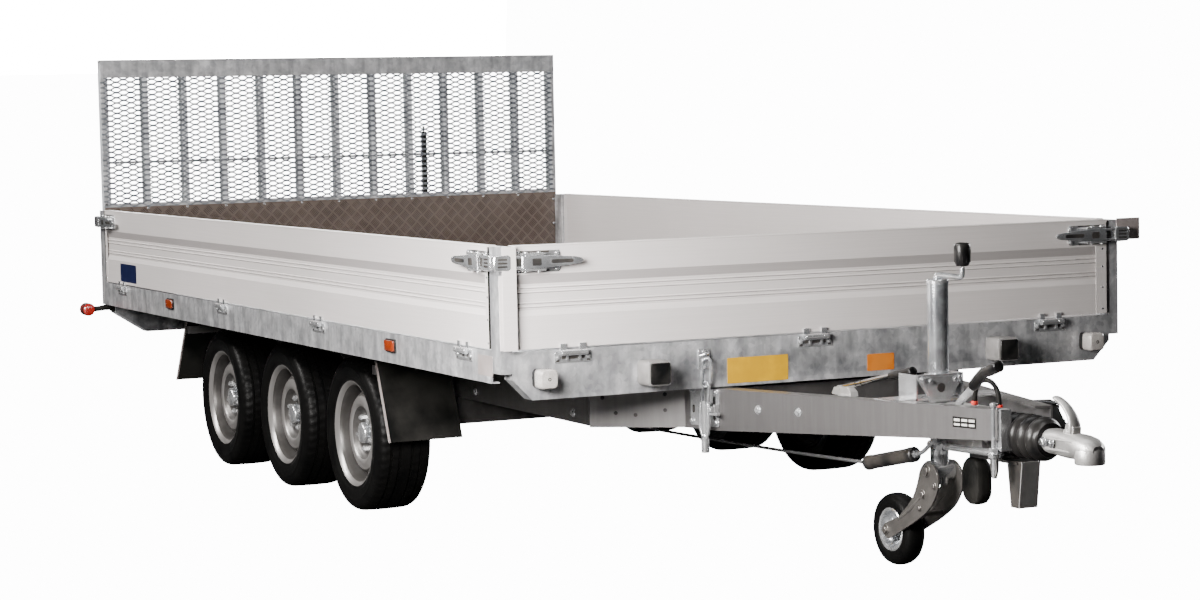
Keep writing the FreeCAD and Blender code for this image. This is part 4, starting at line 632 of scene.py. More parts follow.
# Bright strips over the ribs' faces: painted light in the lighter copy of the galvanised finish.
ribs = Piece("gate_rib_highlight_strips")
for k in range(-5, 6):
    ribs.block((GATE_FACE - 3.4, 172 * k - 11, 980), (GATE_FACE - 2.4, 172 * k + 11, 1506))
ribs.finish("rib_steel_painted_light", "tailgate", slot="galvanised", bevel=0.4)
strip = Piece("gate_dark_strip")
strip.block((GATE_FACE - 40, 409, 975), (GATE_FACE - 14, 427, 1250))
strip.tube([(GATE_FACE - 27, 418, 1250), (GATE_FACE - 27, 418, 1275)], 5)
strip.finish("black_plastic", "tailgate", bevel=0.8)
lip = Piece("gate_lip_edge")
lip.block((GATE_FACE - 45.3, -1050.3, 1570), (GATE_FACE + 0.4, 1050.3, 1583))
for low, high in ((-1, 0.35), (-45.3, -44.6)):
    lip.block((GATE_FACE + low, -1050.2, 1508), (GATE_FACE + high, 1050.2, 1570))
lip.block((GATE_FACE - 46, 212, 1508), (GATE_FACE + 0.6, 215, 1583))
lip.finish("galvanised", "tailgate", bevel=2)

# --- Panels: end strips, rivets and stickers ---------------------------------------------


def end_strips(name, body, ends):
    """Pressed caps at a panel's ends with rivets, and a dark sheet of painted shade in the gap at each end.
    Each end has a frame with X into the panel.
    """
    p, r, gap_shade = Piece(name), Piece(name + "_rivets"), Piece(name + "_seals")
    for where, width in ends:
        p.m = r.m = gap_shade.m = where
        # A dark L-shaped sheet in the gap between the panel's end and its post: painted shade.
        gap_shade.prism([(-3.6, -20), (-0.9, -20), (-0.9, 1.5), (3.5, 1.5), (3.5, 2.2), (-3.6, 2.2)], "z", 657,
                   950)
        p.prism([(0, -0.6), (width, -0.6), (width, 0.9), (0, 1.4)], "z", 656, 870)
        p.prism([(-0.8, -25.5), (2, -25.5), (2, 1.4), (-0.8, 1.4)], "z", 656, 954)
        r.domes([(width * 0.45, 1.1, z) for z in (672, 740, 805, 862)], "y", 4, 1.8)
        p.prism([(0, -25.6), (width, -25.6), (width, -24.4), (0, -24.4)], "z", 656, 952)
    p.finish("aluminium", body, bevel=0.8)
    r.finish("zinc", body)
    gap_shade.finish("rubber", body)


POST_WIDTH, PANEL_GAP = 70, 5
PANEL_END = BED_LENGTH - POST_WIDTH - PANEL_GAP
end_strips("right_panel_ends", "right_side", [(at(-75, -1075, 0, 180), 26),
                                              (at(-PANEL_END, -1075, 0, 180, flip=True), 26)])
end_strips("left_panel_ends", "left_side", [(at(-75, 1075, 0, 0, flip=True), 26),
                                            (at(-PANEL_END, 1075, 0, 0), 26)])
end_strips("front_panel_ends", "front_side", [(at(0, -1034, 0, 90, flip=True), 44),
                                              (at(0, 1034, 0, -90), 44)])

for name, body, low, high in (("right_panel_cap", "right_side", (-PANEL_END, -1075.4, 949),
                               (-75, -1049.6, 954.6)),
                              ("left_panel_cap", "left_side", (-PANEL_END, 1049.6, 949),
                               (-75, 1075.4, 954.6)),
                              ("front_panel_cap", "front_side", (-25.4, -1034, 949), (0.4, 1034, 954.6))):
    p = Piece(name)
    p.block(low, high)
    p.finish("aluminium", body, bevel=2)


def sticker(name, finish, low, high, body, slot):
    """A thin blank plate with rounded corners, flat along its shortest side."""
    p = Piece(name)
    thin = min(range(3), key=lambda k: abs(high[k] - low[k]))
    axis = "xyz"[thin]
    u, v = [k for k in range(3) if k != thin]
    outline = rounded((high[u] - low[u], high[v] - low[v], 3),
                      ((high[u] + low[u]) / 2, (high[v] + low[v]) / 2), 3)
    p.prism(outline, axis, low[thin], high[thin])
    p.finish(finish, body, slot=slot, bevel=0.1)


sticker("front_sign_wide", "sign_yellow", (0.1, -345, 517), (0.9, -138, 593), "bed", "amber_lens")
sticker("front_sign_small", "sign_orange", (0.1, 139, 525), (0.9, 235, 576), "bed", "amber_lens")
sticker("rating_plate", "plate_grey", (-168, -1075.9, 577), (-62, -1075.1, 636), "bed", "plate_white")
sticker("panel_badge", "sign_blue", (-3870, -1075.9, 667), (-3645, -1075.1, 741), "right_side",
        "black_plastic")

# --- Drop-side hinges and latches -------------------------------------------------------

HINGE_Z, LATCH_Z = 641, 907
SIDE_HINGES, SIDE_LATCHES = (-266, -1505, -2536, -3847), (-70, -4090)
# Local frames on each panel's outer face, with X along the panel and Y away from it.
HINGES = {
    "front": [at(12, y, HINGE_Z, -90) for y in (-850, -43, 813)],
    "left": [at(x, 1087, HINGE_Z) for x in SIDE_HINGES],
    "right": [at(x, -1087, HINGE_Z, 180) for x in SIDE_HINGES],
}
LATCHES = {
    "right": [at(x, -HALF, LATCH_Z, 180, flip) for x, flip in zip(SIDE_LATCHES, (False, True))],
    "left": [at(x, HALF, LATCH_Z, 0, flip) for x, flip in zip(SIDE_LATCHES, (True, False))],
    "front": [at(0, y, LATCH_Z, -90, flip) for y, flip in ((1040, False), (-1040, True))],
}


def hinge_plates():
    """The bed's half of each hinge: a plate with its bolts and ribs, and dark plates of painted shade in its
    hollows.
    """
    plates, bolts, hollows = Piece("hinge_plates"), Piece("hinge_bolts"), Piece("hinge_hollow_shade")
    for where in (m for frames in HINGES.values() for m in frames):
        plates.m = bolts.m = hollows.m = where
        plates.plate((118, 34, 4), (0, -13), "y", -12, -9.4, 3)
        # Dark plates on the hinge plate's face: painted shade in its recesses.
        hollows.plate((74, 21, 3), (0, -9), "y", -9.6, -9.1, 3)
        for sign in SIGNS:
            bolts.bolts([(sign * 49, -9, -14)], "y", 5, 4.5)
            hollows.plate((11, 5, 2), (sign * 49, -24), "y", -9.6, -9.1, 3)
            plates.plate((8, 18, 2), (sign * 20, -14), "y", -10, -4, 3)
        plates.prism([(-12, -9), (-5, -9), (0, -4), (-6, 4), (-12, 4)], "x", -20, 20)
    plates.finish("zinc", "bed", bevel=0.6)
    bolts.finish("zinc", "bed")
    hollows.finish("black_steel", "bed", slot="zinc")


def strap(p):
    """The panel's half of a hinge: two knuckles and the pin through them."""
    for low in (-41, 21):
        p.lathe([(5.1, low), (9, low), (9, low + 20), (5.1, low + 20)], axis="x", steps=20)
        p.prism([(-12, -2), (-3, 7), (-6, 9), (-6, 26), (-12, 26)], "x", low, low + 20)
    p.lathe([(0, -43), (6.5, -43), (6.5, -41), (5, -41), (5, 41), (6.5, 41), (6.5, 43), (0, 43)], axis="x",
            steps=16)


def latch(p, dark):
    """An over-centre latch along X from the panel's end: its plate, cheeks, lever and hook, with dark plates
    of painted shade in its slots and recesses.
    """
    p.plate((144, 62, 8), (84, 0), "y", 0, 3)
    p.bolts([(x, 3, z) for x, z in ((22, 22), (22, -22), (146, 22), (146, -22))], "y", 5, 4.5)
    p.plate((62, 40, 5), (58, 0), "y", 3, 15)
    for sign in SIGNS:
        p.block((26, 3, sign * 23 - 3), (100, 26, sign * 23 + 3))
        p.tube([(40, 18, sign * 15), (4, 21, sign * 16), (-34, 19, sign * 15)], 4.6, 10)
    p.tube([(40, 18, -29), (40, 18, 29)], 7, 12)
    p.tube([(80, 20, -29), (80, 20, 29)], 6, 12)
    hook = [(-63, -16), (-58, -22), (-16, -24), (-8, -18), (-8, 18), (-16, 24), (-58, 22), (-63, 16)]
    p.puffed(hook, "y", [(14.5, 0.96), (16, 1), (24, 1), (26.5, 0.9)])
    for z in (-8, 0, 8):
        dark.plate((30, 5, 2), (-36, z * 1.3), "y", 26.3, 27, 3)
    edge = [(24, -17), (56, -21), (96, -19), (144, -15), (196, -11), (214, -7)]
    lever = edge + [(221, 0)] + [(x, -z) for x, z in reversed(edge)]
    p.puffed(lever, "y", [(20, 0.9), (22, 0.98), (25, 1), (28, 0.97), (29.5, 0.86)])
    p.pad((86, 19, 8), (150, 0), "y", [(28, 1), (29.6, 0.96)])
    dark.plate((70, 11, 5), (150, 0), "y", 29.5, 29.9)
    dark.plate((28, 20, 3), (70, 0), "y", 29.4, 29.9)
    dark.block((2, 13, -24), (28, 17, 24))
    for z in (-28, 28):
        dark.plate((92, 6, 2), (74, z), "y", 2.9, 3.3, 3)


def fittings(side):
    """What rides on one panel: its hinge straps and latches."""
    metal, dark = Piece(side + "_fittings_metal"), Piece(side + "_fittings_shadow")
    for metal.m in HINGES[side]:
        strap(metal)
    for where in LATCHES[side]:
        metal.m = dark.m = where
        latch(metal, dark)
    metal.finish("zinc", side + "_side", replaces=side + "_panel_fittings", bevel=0.5)
    dark.finish("black_steel", side + "_side", slot="zinc")


def keepers():
    """The corner posts' plates that the latches' hooks pull on."""
    p, reach = Piece("latch_keepers"), 34
    for p.m in (m for frames in LATCHES.values() for m in frames):
        p.plate((reach - 8, 44, 4), (-reach / 2 - 2, 0), "y", 0, 3)
        p.prism([(3, -9), (9, -9), (12, 0), (9, 9), (3, 9)], "x", -reach + 6, -reach + 16)
        p.bolts([(-14, 3, z) for z in (-15, 15)], "y", 4.5, 4)
    p.finish("zinc", "bed", bevel=0.5)


hinge_plates()
for side in ("right", "left", "front"):
    fittings(side)
keepers()

# --- Lamps, caps and plates ---------------------------------------------------------------

caps, sleeves = Piece("runner_cap_faces"), Piece("runner_sleeves")
for sign in SIGNS:
    y = sign * 606
    sleeves.pad((78, 74, 13), (y, 569), "x", [(2, 0.97), (5, 1), (66, 1), (73, 0.95), (75, 0.86)])
    caps.pad((64, 62, 6), (y, 569), "x", [(70, 1), (77.5, 1), (79.4, 0.96), (79.9, 0.9)])
    sleeves.bolts([(38, y, 533)], (0, 0, -1), 6, 6)
caps.finish("black_plastic", "bed", replaces="runner_caps")
sleeves.finish("grey_plastic", "bed", slot="galvanised")

lenses, bases, screws = Piece("front_lamp_lenses"), Piece("front_lamp_bases"), Piece("front_lamp_screws")
for sign in SIGNS:
    y = sign * 952
    outline = rounded((58, 58, 13), (y, 572))
    bases.pad((56, 56, 13), (y, 572), "x", [(0.3, 1), (24, 1), (26, 0.95)])
    lenses.puffed(outline, "x", [(18, 0.97), (20, 1), (50, 0.98), (56, 0.93), (59, 0.84), (59.9, 0.72)])
    screws.lathe([(5.5, 59.2), (5.5, 60), (2.4, 60), (2.4, 58.5)], (0, y, 572), "x", 18)
lenses.finish("clear_lens", "bed", replaces="front_lamps")
bases.finish("black_plastic", "bed")
screws.finish("black_steel", "bed", slot="zinc")

marks, frames = Piece("marker_lenses"), Piece("marker_frames")
for sign in SIGNS:
    for x in (-848, -3180):
        outline = rounded((79, 42, 4), (x, 613))
        levels = ((HALF + 0.2, 1), (HALF + 5, 1), (HALF + 6, 0.97))
        frames.puffed(outline, "y", [(sign * v, s) for v, s in levels])
        levels = ((HALF + 4, 1), (HALF + 10, 1), (HALF + 12.6, 0.94), (HALF + 13.6, 0.84))
        marks.pad((71, 34, 5), (x, 613), "y", [(sign * v, s) for v, s in levels])
        for k in range(-4, 5):
            marks.block((x + k * 7 - 1, sign * (HALF + 11.5) - 1.5, 600),
                        (x + k * 7 + 1, sign * (HALF + 11.5) + 1.5, 626))
marks.finish("amber_lens", "bed", replaces="side_markers")
frames.finish("black_plastic", "bed")

cases = Piece("tail_lamp_cases")
glass = {"red_lens": Piece("tail_lamp_red"), "amber_lens": Piece("tail_lamp_amber"),
         "clear_lens": Piece("tail_lamp_clear")}
for sign in SIGNS:
    y = sign * 760
    cases.pad((230, 110, 10), (y, 507), "x", [(-4160.2, 1), (-4183, 1), (-4185, 0.98)])
    for finish, shift, width in (("amber_lens", 78, 66), ("red_lens", 0, 84), ("clear_lens", -78, 66)):
        glass[finish].pad((width, 98, 8), (y + sign * shift, 507), "x",
                          [(-4184, 1), (-4191, 0.99), (-4194, 0.95), (-4194.8, 0.88)])
cases.finish("black_plastic", "bed", replaces="tail_lamps")
for finish, piece in glass.items():
    piece.finish(finish, "bed")

arms, red = Piece("outline_lamp_arms"), Piece("outline_lamp_lenses")
for sign in SIGNS:
    arms.tube([(-4130, sign * 1041, 548), (-4130, sign * 1075, 544), (-4130, sign * 1108, 540),
               (-4130, sign * 1142, 540)],
              [17, 12, 11, 13], 16, smooth=5)
    arms.plate((60, 44, 6), (-4130, 548), "y", sign * 1040.4, sign * 1046)
    arms.lathe([(14, -27), (26, -25), (26.9, -22), (26.9, -8), (24, -6), (24, 6), (26.9, 8), (26.9, 22),
                (26, 25), (14, 27)],
               (-4130, sign * 1150, 540), "x", 28)
    red.lathe([(6, 30), (18, 29.4), (24, 27), (25.4, 22), (25.4, -22), (24, -27), (18, -29.4), (6, -30)],
              (-4130, sign * 1150.3, 540), "x", 28)
arms.finish("rubber", "bed", replaces="outline_lamps")
red.finish("red_lens", "bed")

board = Piece("blank_number_plate")
board.plate((520, 110, 10), (0, 507), "x", -4162.9, -4160.4)
board.plate((498, 88, 6), (0, 507), "x", -4163, -4162.4)
board.finish("plate_white", "bed", replaces="blank_plates", bevel=0.4)
board = Piece("corner_plate")
board.plate((90, 69, 3), (1115, 922), "x", 0.4, 2.8)
board.domes([(2.6, y, 948) for y in (1082, 1148)], "x", 3, 0.4)
board.finish("plate_grey", "bed", slot="plate_white", bevel=0.4)

# --- Chassis details --------------------------------------------------------------------

ARM_TURN = math.degrees(math.atan2(387 - 90, 1030))
RIGHT_ARM = at(0, -387, 0, ARM_TURN)
LEFT_ARM = at(0, 387, 0, -ARM_TURN)
bolts = Piece("drawbar_bolts")
for where, sign in ((RIGHT_ARM, -1), (LEFT_ARM, 1)):
    bolts.m = where
    bolts.bolts([(x, 0, z) for x, z in ((178, 454), (340, 458))], (0, sign, 0), 9, 9)
    bolts.bolts([(x, -sign * y, 505) for x in (700, 760, 820) for y in (16, 36)], "z", 7, 8)
bolts.m = HOME
for sign in SIGNS:
    bolts.bolts([(x, sign * 663, z) for x in (-400, -1150, -1950, -2650, -3380) for z in (415, 470)],
                (0, sign, 0), 9, 8)
bolts.finish("zinc", "chassis")

# Dark discs at the arm's and console's holes: painted shade inside the holes.
holes = Piece("console_holes")
holes.m = RIGHT_ARM
for x, z in ((-96, 484), (-96, 432)):
    holes.lathe([(6, 0), (6, 0.7), (0.1, 0.7)], (x, 0.1, z), (0, -1, 0), 20)
console = at(-125, -423, 0, math.degrees(math.atan2(240, 167)))
holes.m = console
for x, z in ((-150, 418), (-210, 424), (-60, 480), (-60, 432), (-250, 470)):
    holes.lathe([(6, 0), (6, 0.9), (0.1, 0.9)], (x, 0, z), (0, -1, 0), 20)
holes.finish("black_steel", "chassis")

marks = Piece("drawbar_label")
marks.m = RIGHT_ARM
marks.block((918, -0.9, 459), (1000, 0.2, 488))
marks.finish("black_plastic", "chassis", bevel=0.1)
marks = Piece("drawbar_label_bars")
marks.m = RIGHT_ARM
for k in range(3):
    marks.block((923 + 26 * k, -1.2, 476), (943 + 26 * k, -0.6, 483))
    marks.block((923 + 26 * k, -1.2, 464), (943 + 26 * k, -0.6, 470))
marks.finish("plate_white", "chassis", bevel=0.1)

# --- Hold-down latch ----------------------------------------------------------------------

CHAIN_X, CHAIN_Y, CHAIN_LEAN, LINK_STEPS = -64, -30, 0.09, 28


def chain_link(low, high, half, along, across):
    """An upright oval between two heights, as wide as its half width's shares along and across."""
    points = []
    for k in range(LINK_STEPS + 1):
        a = 2 * math.pi * k / LINK_STEPS
        end = math.copysign((high - low) / 2 - half, math.sin(a)) if abs(math.sin(a)) > 1e-6 else 0
        z, s = (low + high) / 2 + end + half * math.sin(a), half * math.cos(a)
        points.append((CHAIN_X + (z - 452) * CHAIN_LEAN + s * along, CHAIN_Y + s * across, z))
    return points


hold, plate, slots = Piece("hold_down_lever"), Piece("hold_down_plate"), Piece("hold_down_slots")
plate.m = slots.m = RIGHT_ARM @ Matrix.Translation((24, 0, 0))
hold.m = RIGHT_ARM @ Matrix.Translation((54, -4, 0))
plate.plate((120, 112, 6), (-66, 447), "y", -4, 0)
plate.bolts([(x, -4, z) for x, z in ((-118, 494), (-16, 494), (-118, 404), (-16, 404))], (0, -1, 0), 7, 7)
# Dark plates where the plate's slots are: painted shade.
for x, z in ((-112, 440), (-24, 470), (-24, 424)):
    slots.plate((10, 24, 4), (x, z), "y", -4.6, -3.6, 3)
slots.finish("black_steel", "chassis", slot="zinc")
plate.block((-42, -36, 430), (-34, -4, 460))
plate.block((-12, -22, 430), (-5, -4, 460))
plate.block((-12, -36, 430), (18, -22, 436))
for sign in SIGNS:
    hold.tube([(-64 + sign * 15, -30, 466), (-64 + sign * 16, -32, 440), (-64 + sign * 17, -32, 396),
               (-64 + sign * 9, -31, 368), (-64, -30, 356)],
              6, 12, smooth=4)
hold.tube([(-92, -24, 446), (-36, -24, 446)], 9, 16)
hold.tube([(-64, -30, 470), (-64, -30, 372)], [10, 10], 18)
hold.lathe([(4, 317), (11, 317), (12, 319), (12, 360), (9, 364), (7, 372)], (-64, -30, 0), "z", 20)
for k in range(9):
    hold.lathe([(7, 374 + 5 * k), (9.6, 376 + 5 * k), (7, 378 + 5 * k)], (-64, -30, 0), "z", 16)
hold.tube(chain_link(452, 528, 13, 1, 0), 5, 10)
hold.tube(chain_link(514, 598, 14, 0.75, 0.5), 5, 10)
plate.finish("zinc", "chassis", replaces="hold_down_latch", bevel=0.6)
hold.finish("zinc", "chassis", bevel=0.3)
eye = Piece("hold_down_eye_plate")
eye.plate((38, 62, 5), (-424, 596), "x", 0.2, 5)
eye.tube([(5, -438, 606), (16, -424, 612), (5, -410, 606)], 4.5, 12, smooth=6)
eye.bolts([(5, -424, z - 2) for z in (574, 620)], "x", 5, 4)
eye.finish("zinc", "bed", bevel=0.5)

# --- Hand pump ----------------------------------------------------------------------------

PUMP_Y = -82
pump, grip, rodp = Piece("pump_body_casting"), Piece("pump_grip"), Piece("pump_lever_tube")
pump.lathe([(4, 420), (20, 420), (23, 424), (23, 470), (26, 474), (26, 486), (20, 492), (4, 493)],
           (245, PUMP_Y, 0), "z", 30)
pump.m = at(245, 0, 486)
pump.prism([(-64, 4), (-50, 22), (20, 26), (40, 14), (44, 0), (-60, 0)], "y", PUMP_Y - 13, PUMP_Y + 13)
pump.m = HOME
pump.pin(222, 508, 16, 7, 14, PUMP_Y)
pump.block((225, -305, 431), (265, PUMP_Y, 440))
pump.bolts([(245, y, 440) for y in (-285, -240)], "z", 6, 6)
pump.finish("cast_steel", "chassis", replaces="hand_pump", bevel=1)
rodp.tube([(196, PUMP_Y, 503), (360, PUMP_Y, 537), (500, PUMP_Y, 566)], 7.5, 18)
for x, z in ((300, 524.5), (330, 530.7)):
    rodp.tube([(x - 3, PUMP_Y, z - 0.6), (x + 3, PUMP_Y, z + 0.6)], 9, 18)
rodp.finish("chrome", "chassis")
grip.tube([(488, PUMP_Y, 563.5), (494, PUMP_Y, 564.8), (560, PUMP_Y, 576), (592, PUMP_Y, 582.5),
           (606, PUMP_Y, 585), (610, PUMP_Y, 586)],
          [8, 11, 12.5, 14, 14, 9], 22, smooth=3)
grip.finish("black_plastic", "chassis")

# --- Brake gear ---------------------------------------------------------------------------

brake, spring = Piece("brake_rods"), Piece("brake_spring_tube")
direction = (Vector((612, 0, 352)) - Vector((359, 0, 300))).normalized()
spring.lathe([(4, 0), (19, 0), (22, 4), (22, 18), (20.6, 22), (20.6, 226), (22, 230), (22, 254), (19, 258.3),
              (4, 258.3)],
             (359, PUMP_Y, 300), direction, 30)
brake.tube([(359, PUMP_Y, 300), (-150, PUMP_Y, 283), (-700, PUMP_Y, 270), (-1180, PUMP_Y, 262)], 5, 12,
           smooth=6)
brake.tube([(610, PUMP_Y, 351.6), (650, PUMP_Y, 362), (710, PUMP_Y, 400)], 6, 12, smooth=4)
brake.lathe([(4, 258), (12, 258), (12, 268), (7, 268), (7, 274), (4, 274)], (359, PUMP_Y, 300), direction, 6)
brake.block((700, -87, 390), (730, -55, 410))
spring.finish("black_steel", "chassis", replaces="brake_rod")
brake.finish("zinc", "chassis", bevel=0.5)

# --- Coupling -----------------------------------------------------------------------------

AXIS = 440
cast = Piece("coupling_housing_cast")
cast.prism([(-55, 384), (-44, 380), (44, 380), (55, 384), (55, 470), (38, 494), (20, 500), (-20, 500),
            (-38, 494), (-55, 470)], "x", 682, 905)
cast.lathe([(30, 800), (50, 802), (54, 812), (54, 905), (47, 915), (46, 938), (34, 940)], (0, 0, AXIS), "x",
           40)
cast.prism([(690, 496), (700, 500), (930, 472), (936, 452), (690, 452)], "y", -9, 9)
for x in (700, 770, 850):
    cast.block((x, -57, 386), (x + 14, 57, 482))
for x in (716, 880):
    for sign in SIGNS:
        cast.bolts([(x + 8, sign * 55, 430)], (0, sign, 0), 9, 9)
cast.lathe([(4, 0), (9, 0), (11, 4), (11, 20), (7, 24), (4, 24)], (940, 0, 474), "z", 16)
cast.finish("cast_steel", "chassis", replaces="coupling_housing", bevel=1.5)
mount = Piece("drawbar_nose_brackets")
for sign in SIGNS:
    mount.prism([(655, 433), (1025, 433), (1025, 441), (655, 441)], "y", sign * 56, sign * 96)
mount.prism([(1005, 404), (1040, 404), (1040, 516), (1005, 516)], "y", -84, -50)
mount.lathe([(3, 330), (6, 330), (8, 334), (8, 522), (11, 524), (11, 532), (4, 534)], (1016, -90, 0), "z", 16)
mount.bolts([(1016, -90, 396)], "z", 15, 16)
mount.lathe([(12, 384), (16, 386), (16, 400), (12, 402)], (1016, -90, 0), "z", 20)
mount.finish("zinc", "chassis", bevel=1)
shackle = Piece("nose_shackle")
shackle.tube([(1005, -90, 398), (1003, -90, 370), (1007, -90, 345), (1016, -90, 336), (1025, -90, 345),
              (1029, -90, 370), (1027, -90, 398)],
             5, 12, smooth=5)
shackle.finish("chrome", "chassis", slot="zinc")

folds = [(31, 940), (47, 941), (49, 948)]
for k in range(5):
    start, size = 952 + 37.2 * k, 62 - 1.2 * abs(k - 2.0)
    folds += [(48, start), (53, start + 4), (size - 1.5, start + 10), (size, start + 15),
              (size - 0.6, start + 22), (size - 4, start + 28), (52, start + 33)]
folds += [(47, 1138), (46, 1149), (31, 1150)]
gaiter = Piece("bellows_folds")
gaiter.lathe(folds, (0, 0, AXIS), "x", 56)
gaiter.finish("black_plastic", "chassis", slot="rubber", replaces="coupling_bellows", angle=60)

head, collar = Piece("coupling_head_cast"), Piece("coupling_head_fittings")
sections = [(1146, 62, 62, 26, 440), (1165, 66, 66, 24, 440), (1180, 60, 64, 18, 440),
            (1215, 58, 66, 16, 438), (1250, 66, 66, 20, 436),
            (1280, 76, 66, 28, 436), (1300, 80, 66, 31, 435), (1325, 78, 60, 29,
                                                               434), (1345, 62, 46, 22,
                                                                      433), (1356, 34, 24, 11, 432)]
head.rings([[(x, u, v) for u, v in rounded((w, h, r), (0, z))] for x, w, h, r, z in sections])
head.lathe([(26, 398), (38, 394), (40, 398), (40, 432), (30, 448)], (1319, 0, 0), "z", 40)
for z in (424, 452):
    for sign in SIGNS:
        head.prism([(1170, z - 3), (1290, z - 2), (1290, z + 2), (1170, z + 3)], "y", sign * 28, sign * 37)
head.finish("cast_steel", "chassis", replaces="coupling_head", bevel=1.2)
for x in (1162, 1196):
    collar.tube([(x, -44, 440), (x, 44, 440)], 8, 6)
    for sign in SIGNS:
        collar.bolts([(x, sign * 34, 440)], (0, sign, 0), 10, 10)
collar.finish("zinc", "chassis", bevel=0.5)
lever = Piece("coupling_handle_grip")
lever.tube([(1250, 0, 466), (1252, 0, 490), (1240, 0, 516), (1212, 0, 540), (1180, 0, 553), (1166, 0, 555)],
           [20, 19, 16, 14, 13, 8], 24,
           smooth=6, flat=0.55)
lever.pin(1236, 470, 18, 9, 18)
lever.prism([(1222, 455), (1262, 455), (1266, 484), (1250, 500), (1232, 492)], "y", -13, 13)
lever.finish("cast_steel", "chassis", replaces="coupling_handle", bevel=1)

bar, hand = Piece("handbrake_bar"), Piece("handbrake_grip")
bar.prism([(782, 478), (806, 478), (816, 506), (892, 566), (884, 580), (798, 518)], "y", -66, -56)
bar.prism([(780, 470), (820, 470), (820, 500), (780, 500)], "y", -72, -52)
bar.bolts([(800, -66, 488)], (0, -1, 0), 9, 9)
bar.tube([(882, -61, 568), (905, -61, 588)], 8, 14)
hand.tube([(872, -61, 562), (884, -61, 572), (912, -61, 595), (931, -61, 607), (955, -61, 614),
           (985, -61, 624), (998, -61, 629), (1002, -61, 630)],
          [13, 16, 15, 15, 16, 16, 17, 12], 24, smooth=5)
bar.finish("zinc", "chassis", replaces="handbrake_lever", bevel=0.8)
hand.finish("black_plastic", "chassis")

# --- Jockey wheel -------------------------------------------------------------------------

FRONT = 610
bracket, dark = Piece("jockey_bracket_plates"), Piece("jockey_bracket_shadow")
bracket.prism([(-100, 579), (49, 579), (49, 566), (12, 512), (8, 500), (-58, 500), (-62, 512), (-100, 566)],
              "x", 653, 659)
bracket.prism([(-92, 572), (42, 572), (42, 566), (10, 515), (-60, 515), (-92, 566)], "x", 659, 661.5)
bracket.prism([(565, 579), (655, 579), (655, 494), (565, 494)], "y", -104, -98)
bracket.prism([(565, 579), (655, 579), (655, 494), (565, 494)], "y", 47, 53)
bracket.block((566, -102, 494), (655, 52, 500))
bracket.block((566, -188, 506), (655, 188, 513))
bracket.lathe([(30.2, 514), (38, 514), (38, 560), (42, 562), (42, 574), (30.2, 574)], (FRONT, 0, 0), "z", 40)
bracket.bolts([(659, y, z) for y, z in ((-84, 566), (-60, 561), (22, 562), (36, 566))], "x", 7, 8)
bracket.bolts([(640, y, 513) for y in (-70, -50, 20, 40)], "z", 6, 6)
dark.lathe([(13, 0), (13, 0.8), (0.1, 0.8)], (661.5, -25, 541), "x", 26)
bracket.finish("zinc", "chassis", replaces="jockey_bracket", bevel=0.8)
dark.finish("black_steel", "chassis")

post = Piece("jockey_post")
post.lathe([(27, 442), (29.4, 442), (30, 444), (30, 828), (31.5, 830), (31.5, 838), (29, 841), (12, 842),
            (12, 850), (4, 852)], (FRONT, 0, 0), "z", 48)
post.tube([(FRONT, 0, 846), (FRONT + 6, 0, 852), (FRONT + 60, 0, 853), (FRONT + 112, 0, 852),
           (FRONT + 125, 0, 858), (FRONT + 127, 0, 880)],
          [10, 9, 7.5, 7.5, 7, 6.5], 18, smooth=5)
post.finish("zinc", "chassis", replaces="jockey_tube")
knob = Piece("jockey_knob")
knob.lathe([(7, 882), (17, 884), (20, 890), (22, 900), (23.6, 920), (23.6, 938), (21, 945), (14, 948),
            (4, 948)], (FRONT + 127, 0, 0), "z", 36)
for x, y, _ in circle(1, 0, 12):
    knob.tube([(FRONT + 127 + r * x, r * y, z) for r, z in ((21.4, 894), (22.4, 936))], 1.4, 8)
knob.finish("black_plastic", "chassis")

leg = Piece("jockey_leg_eye")
leg.lathe([(9.3, -36), (27, -36), (29.5, -33), (29.5, 33), (27, 36), (9.3, 36)], (FRONT, 0, 300), "y", 32)
leg.finish("zinc", "jockey_leg")

BANANA = [(634, 324), (604, 326), (575, 300), (560, 262), (535, 218), (500, 184), (452, 150), (404, 132),
          (378, 118), (372, 100), (384, 86),
          (404, 82), (440, 98), (500, 126), (560, 156), (620, 194), (654, 232), (668, 268), (662, 300)]
fork = Piece("jockey_fork_plates")
outline = smooth_outline(BANANA)
for sign in SIGNS:
    fork.prism(outline, "y", sign * 38, sign * 44)
    for x, z, r in ((610, 300, 13), (648, 262, 8), (588, 232, 10), (572, 190, 7), (390, 105, 11)):
        fork.bolts([(x, sign * 44, z)], (0, sign, 0), r, 8 if r > 10 else 6)
    fork.tube([(575, sign * 41, 222), (520, sign * 42, 180), (455, sign * 42, 142)], [4, 6, 4], 12)
fork.pin(610, 300, 44, 9, 18)
fork.pin(390, 105, 44, 8, 18)
fork.pin(560, 170, 40, 9, 16)
fork.finish("fork_steel", "jockey_fork", slot="zinc", replaces="jockey_fork", bevel=0.8)

wheel = Piece("jockey_tyre_ring")
wheel.lathe([(62, -25), (66, -29), (74, -32), (82, -32.5), (90, -31), (98, -26), (103, -17), (105, -8),
             (105, 8), (103, 17), (98, 26), (90, 31), (82, 32.5),
             (74, 32), (66, 29), (62, 25)], (390, 0, 105), "y", 72, closed=True)
wheel.finish("tyre", "jockey_wheel", replaces="jockey_tyre", angle=60)
JOCKEY_RIM = [(8.1, 32), (17, 32), (18, 30), (18.5, 14), (26, 9), (36, 8), (44, 12), (50, 20), (55, 28),
              (61, 30), (63.5, 28), (62.5, 25), (60, 22), (56, 10), (50, 3), (8.1, 3)]
disc = Piece("jockey_rim_dish")
for sign in SIGNS:
    disc.lathe([(r, sign * along) for r, along in JOCKEY_RIM], (390, 0, 105), "y", 56)
for x, z in [polar(31, 45 + 90 * k) for k in range(4)]:
    for sign in SIGNS:
        disc.bolts([(390 + x, sign * 9, 105 + z)], (0, sign, 0), 5, 5)
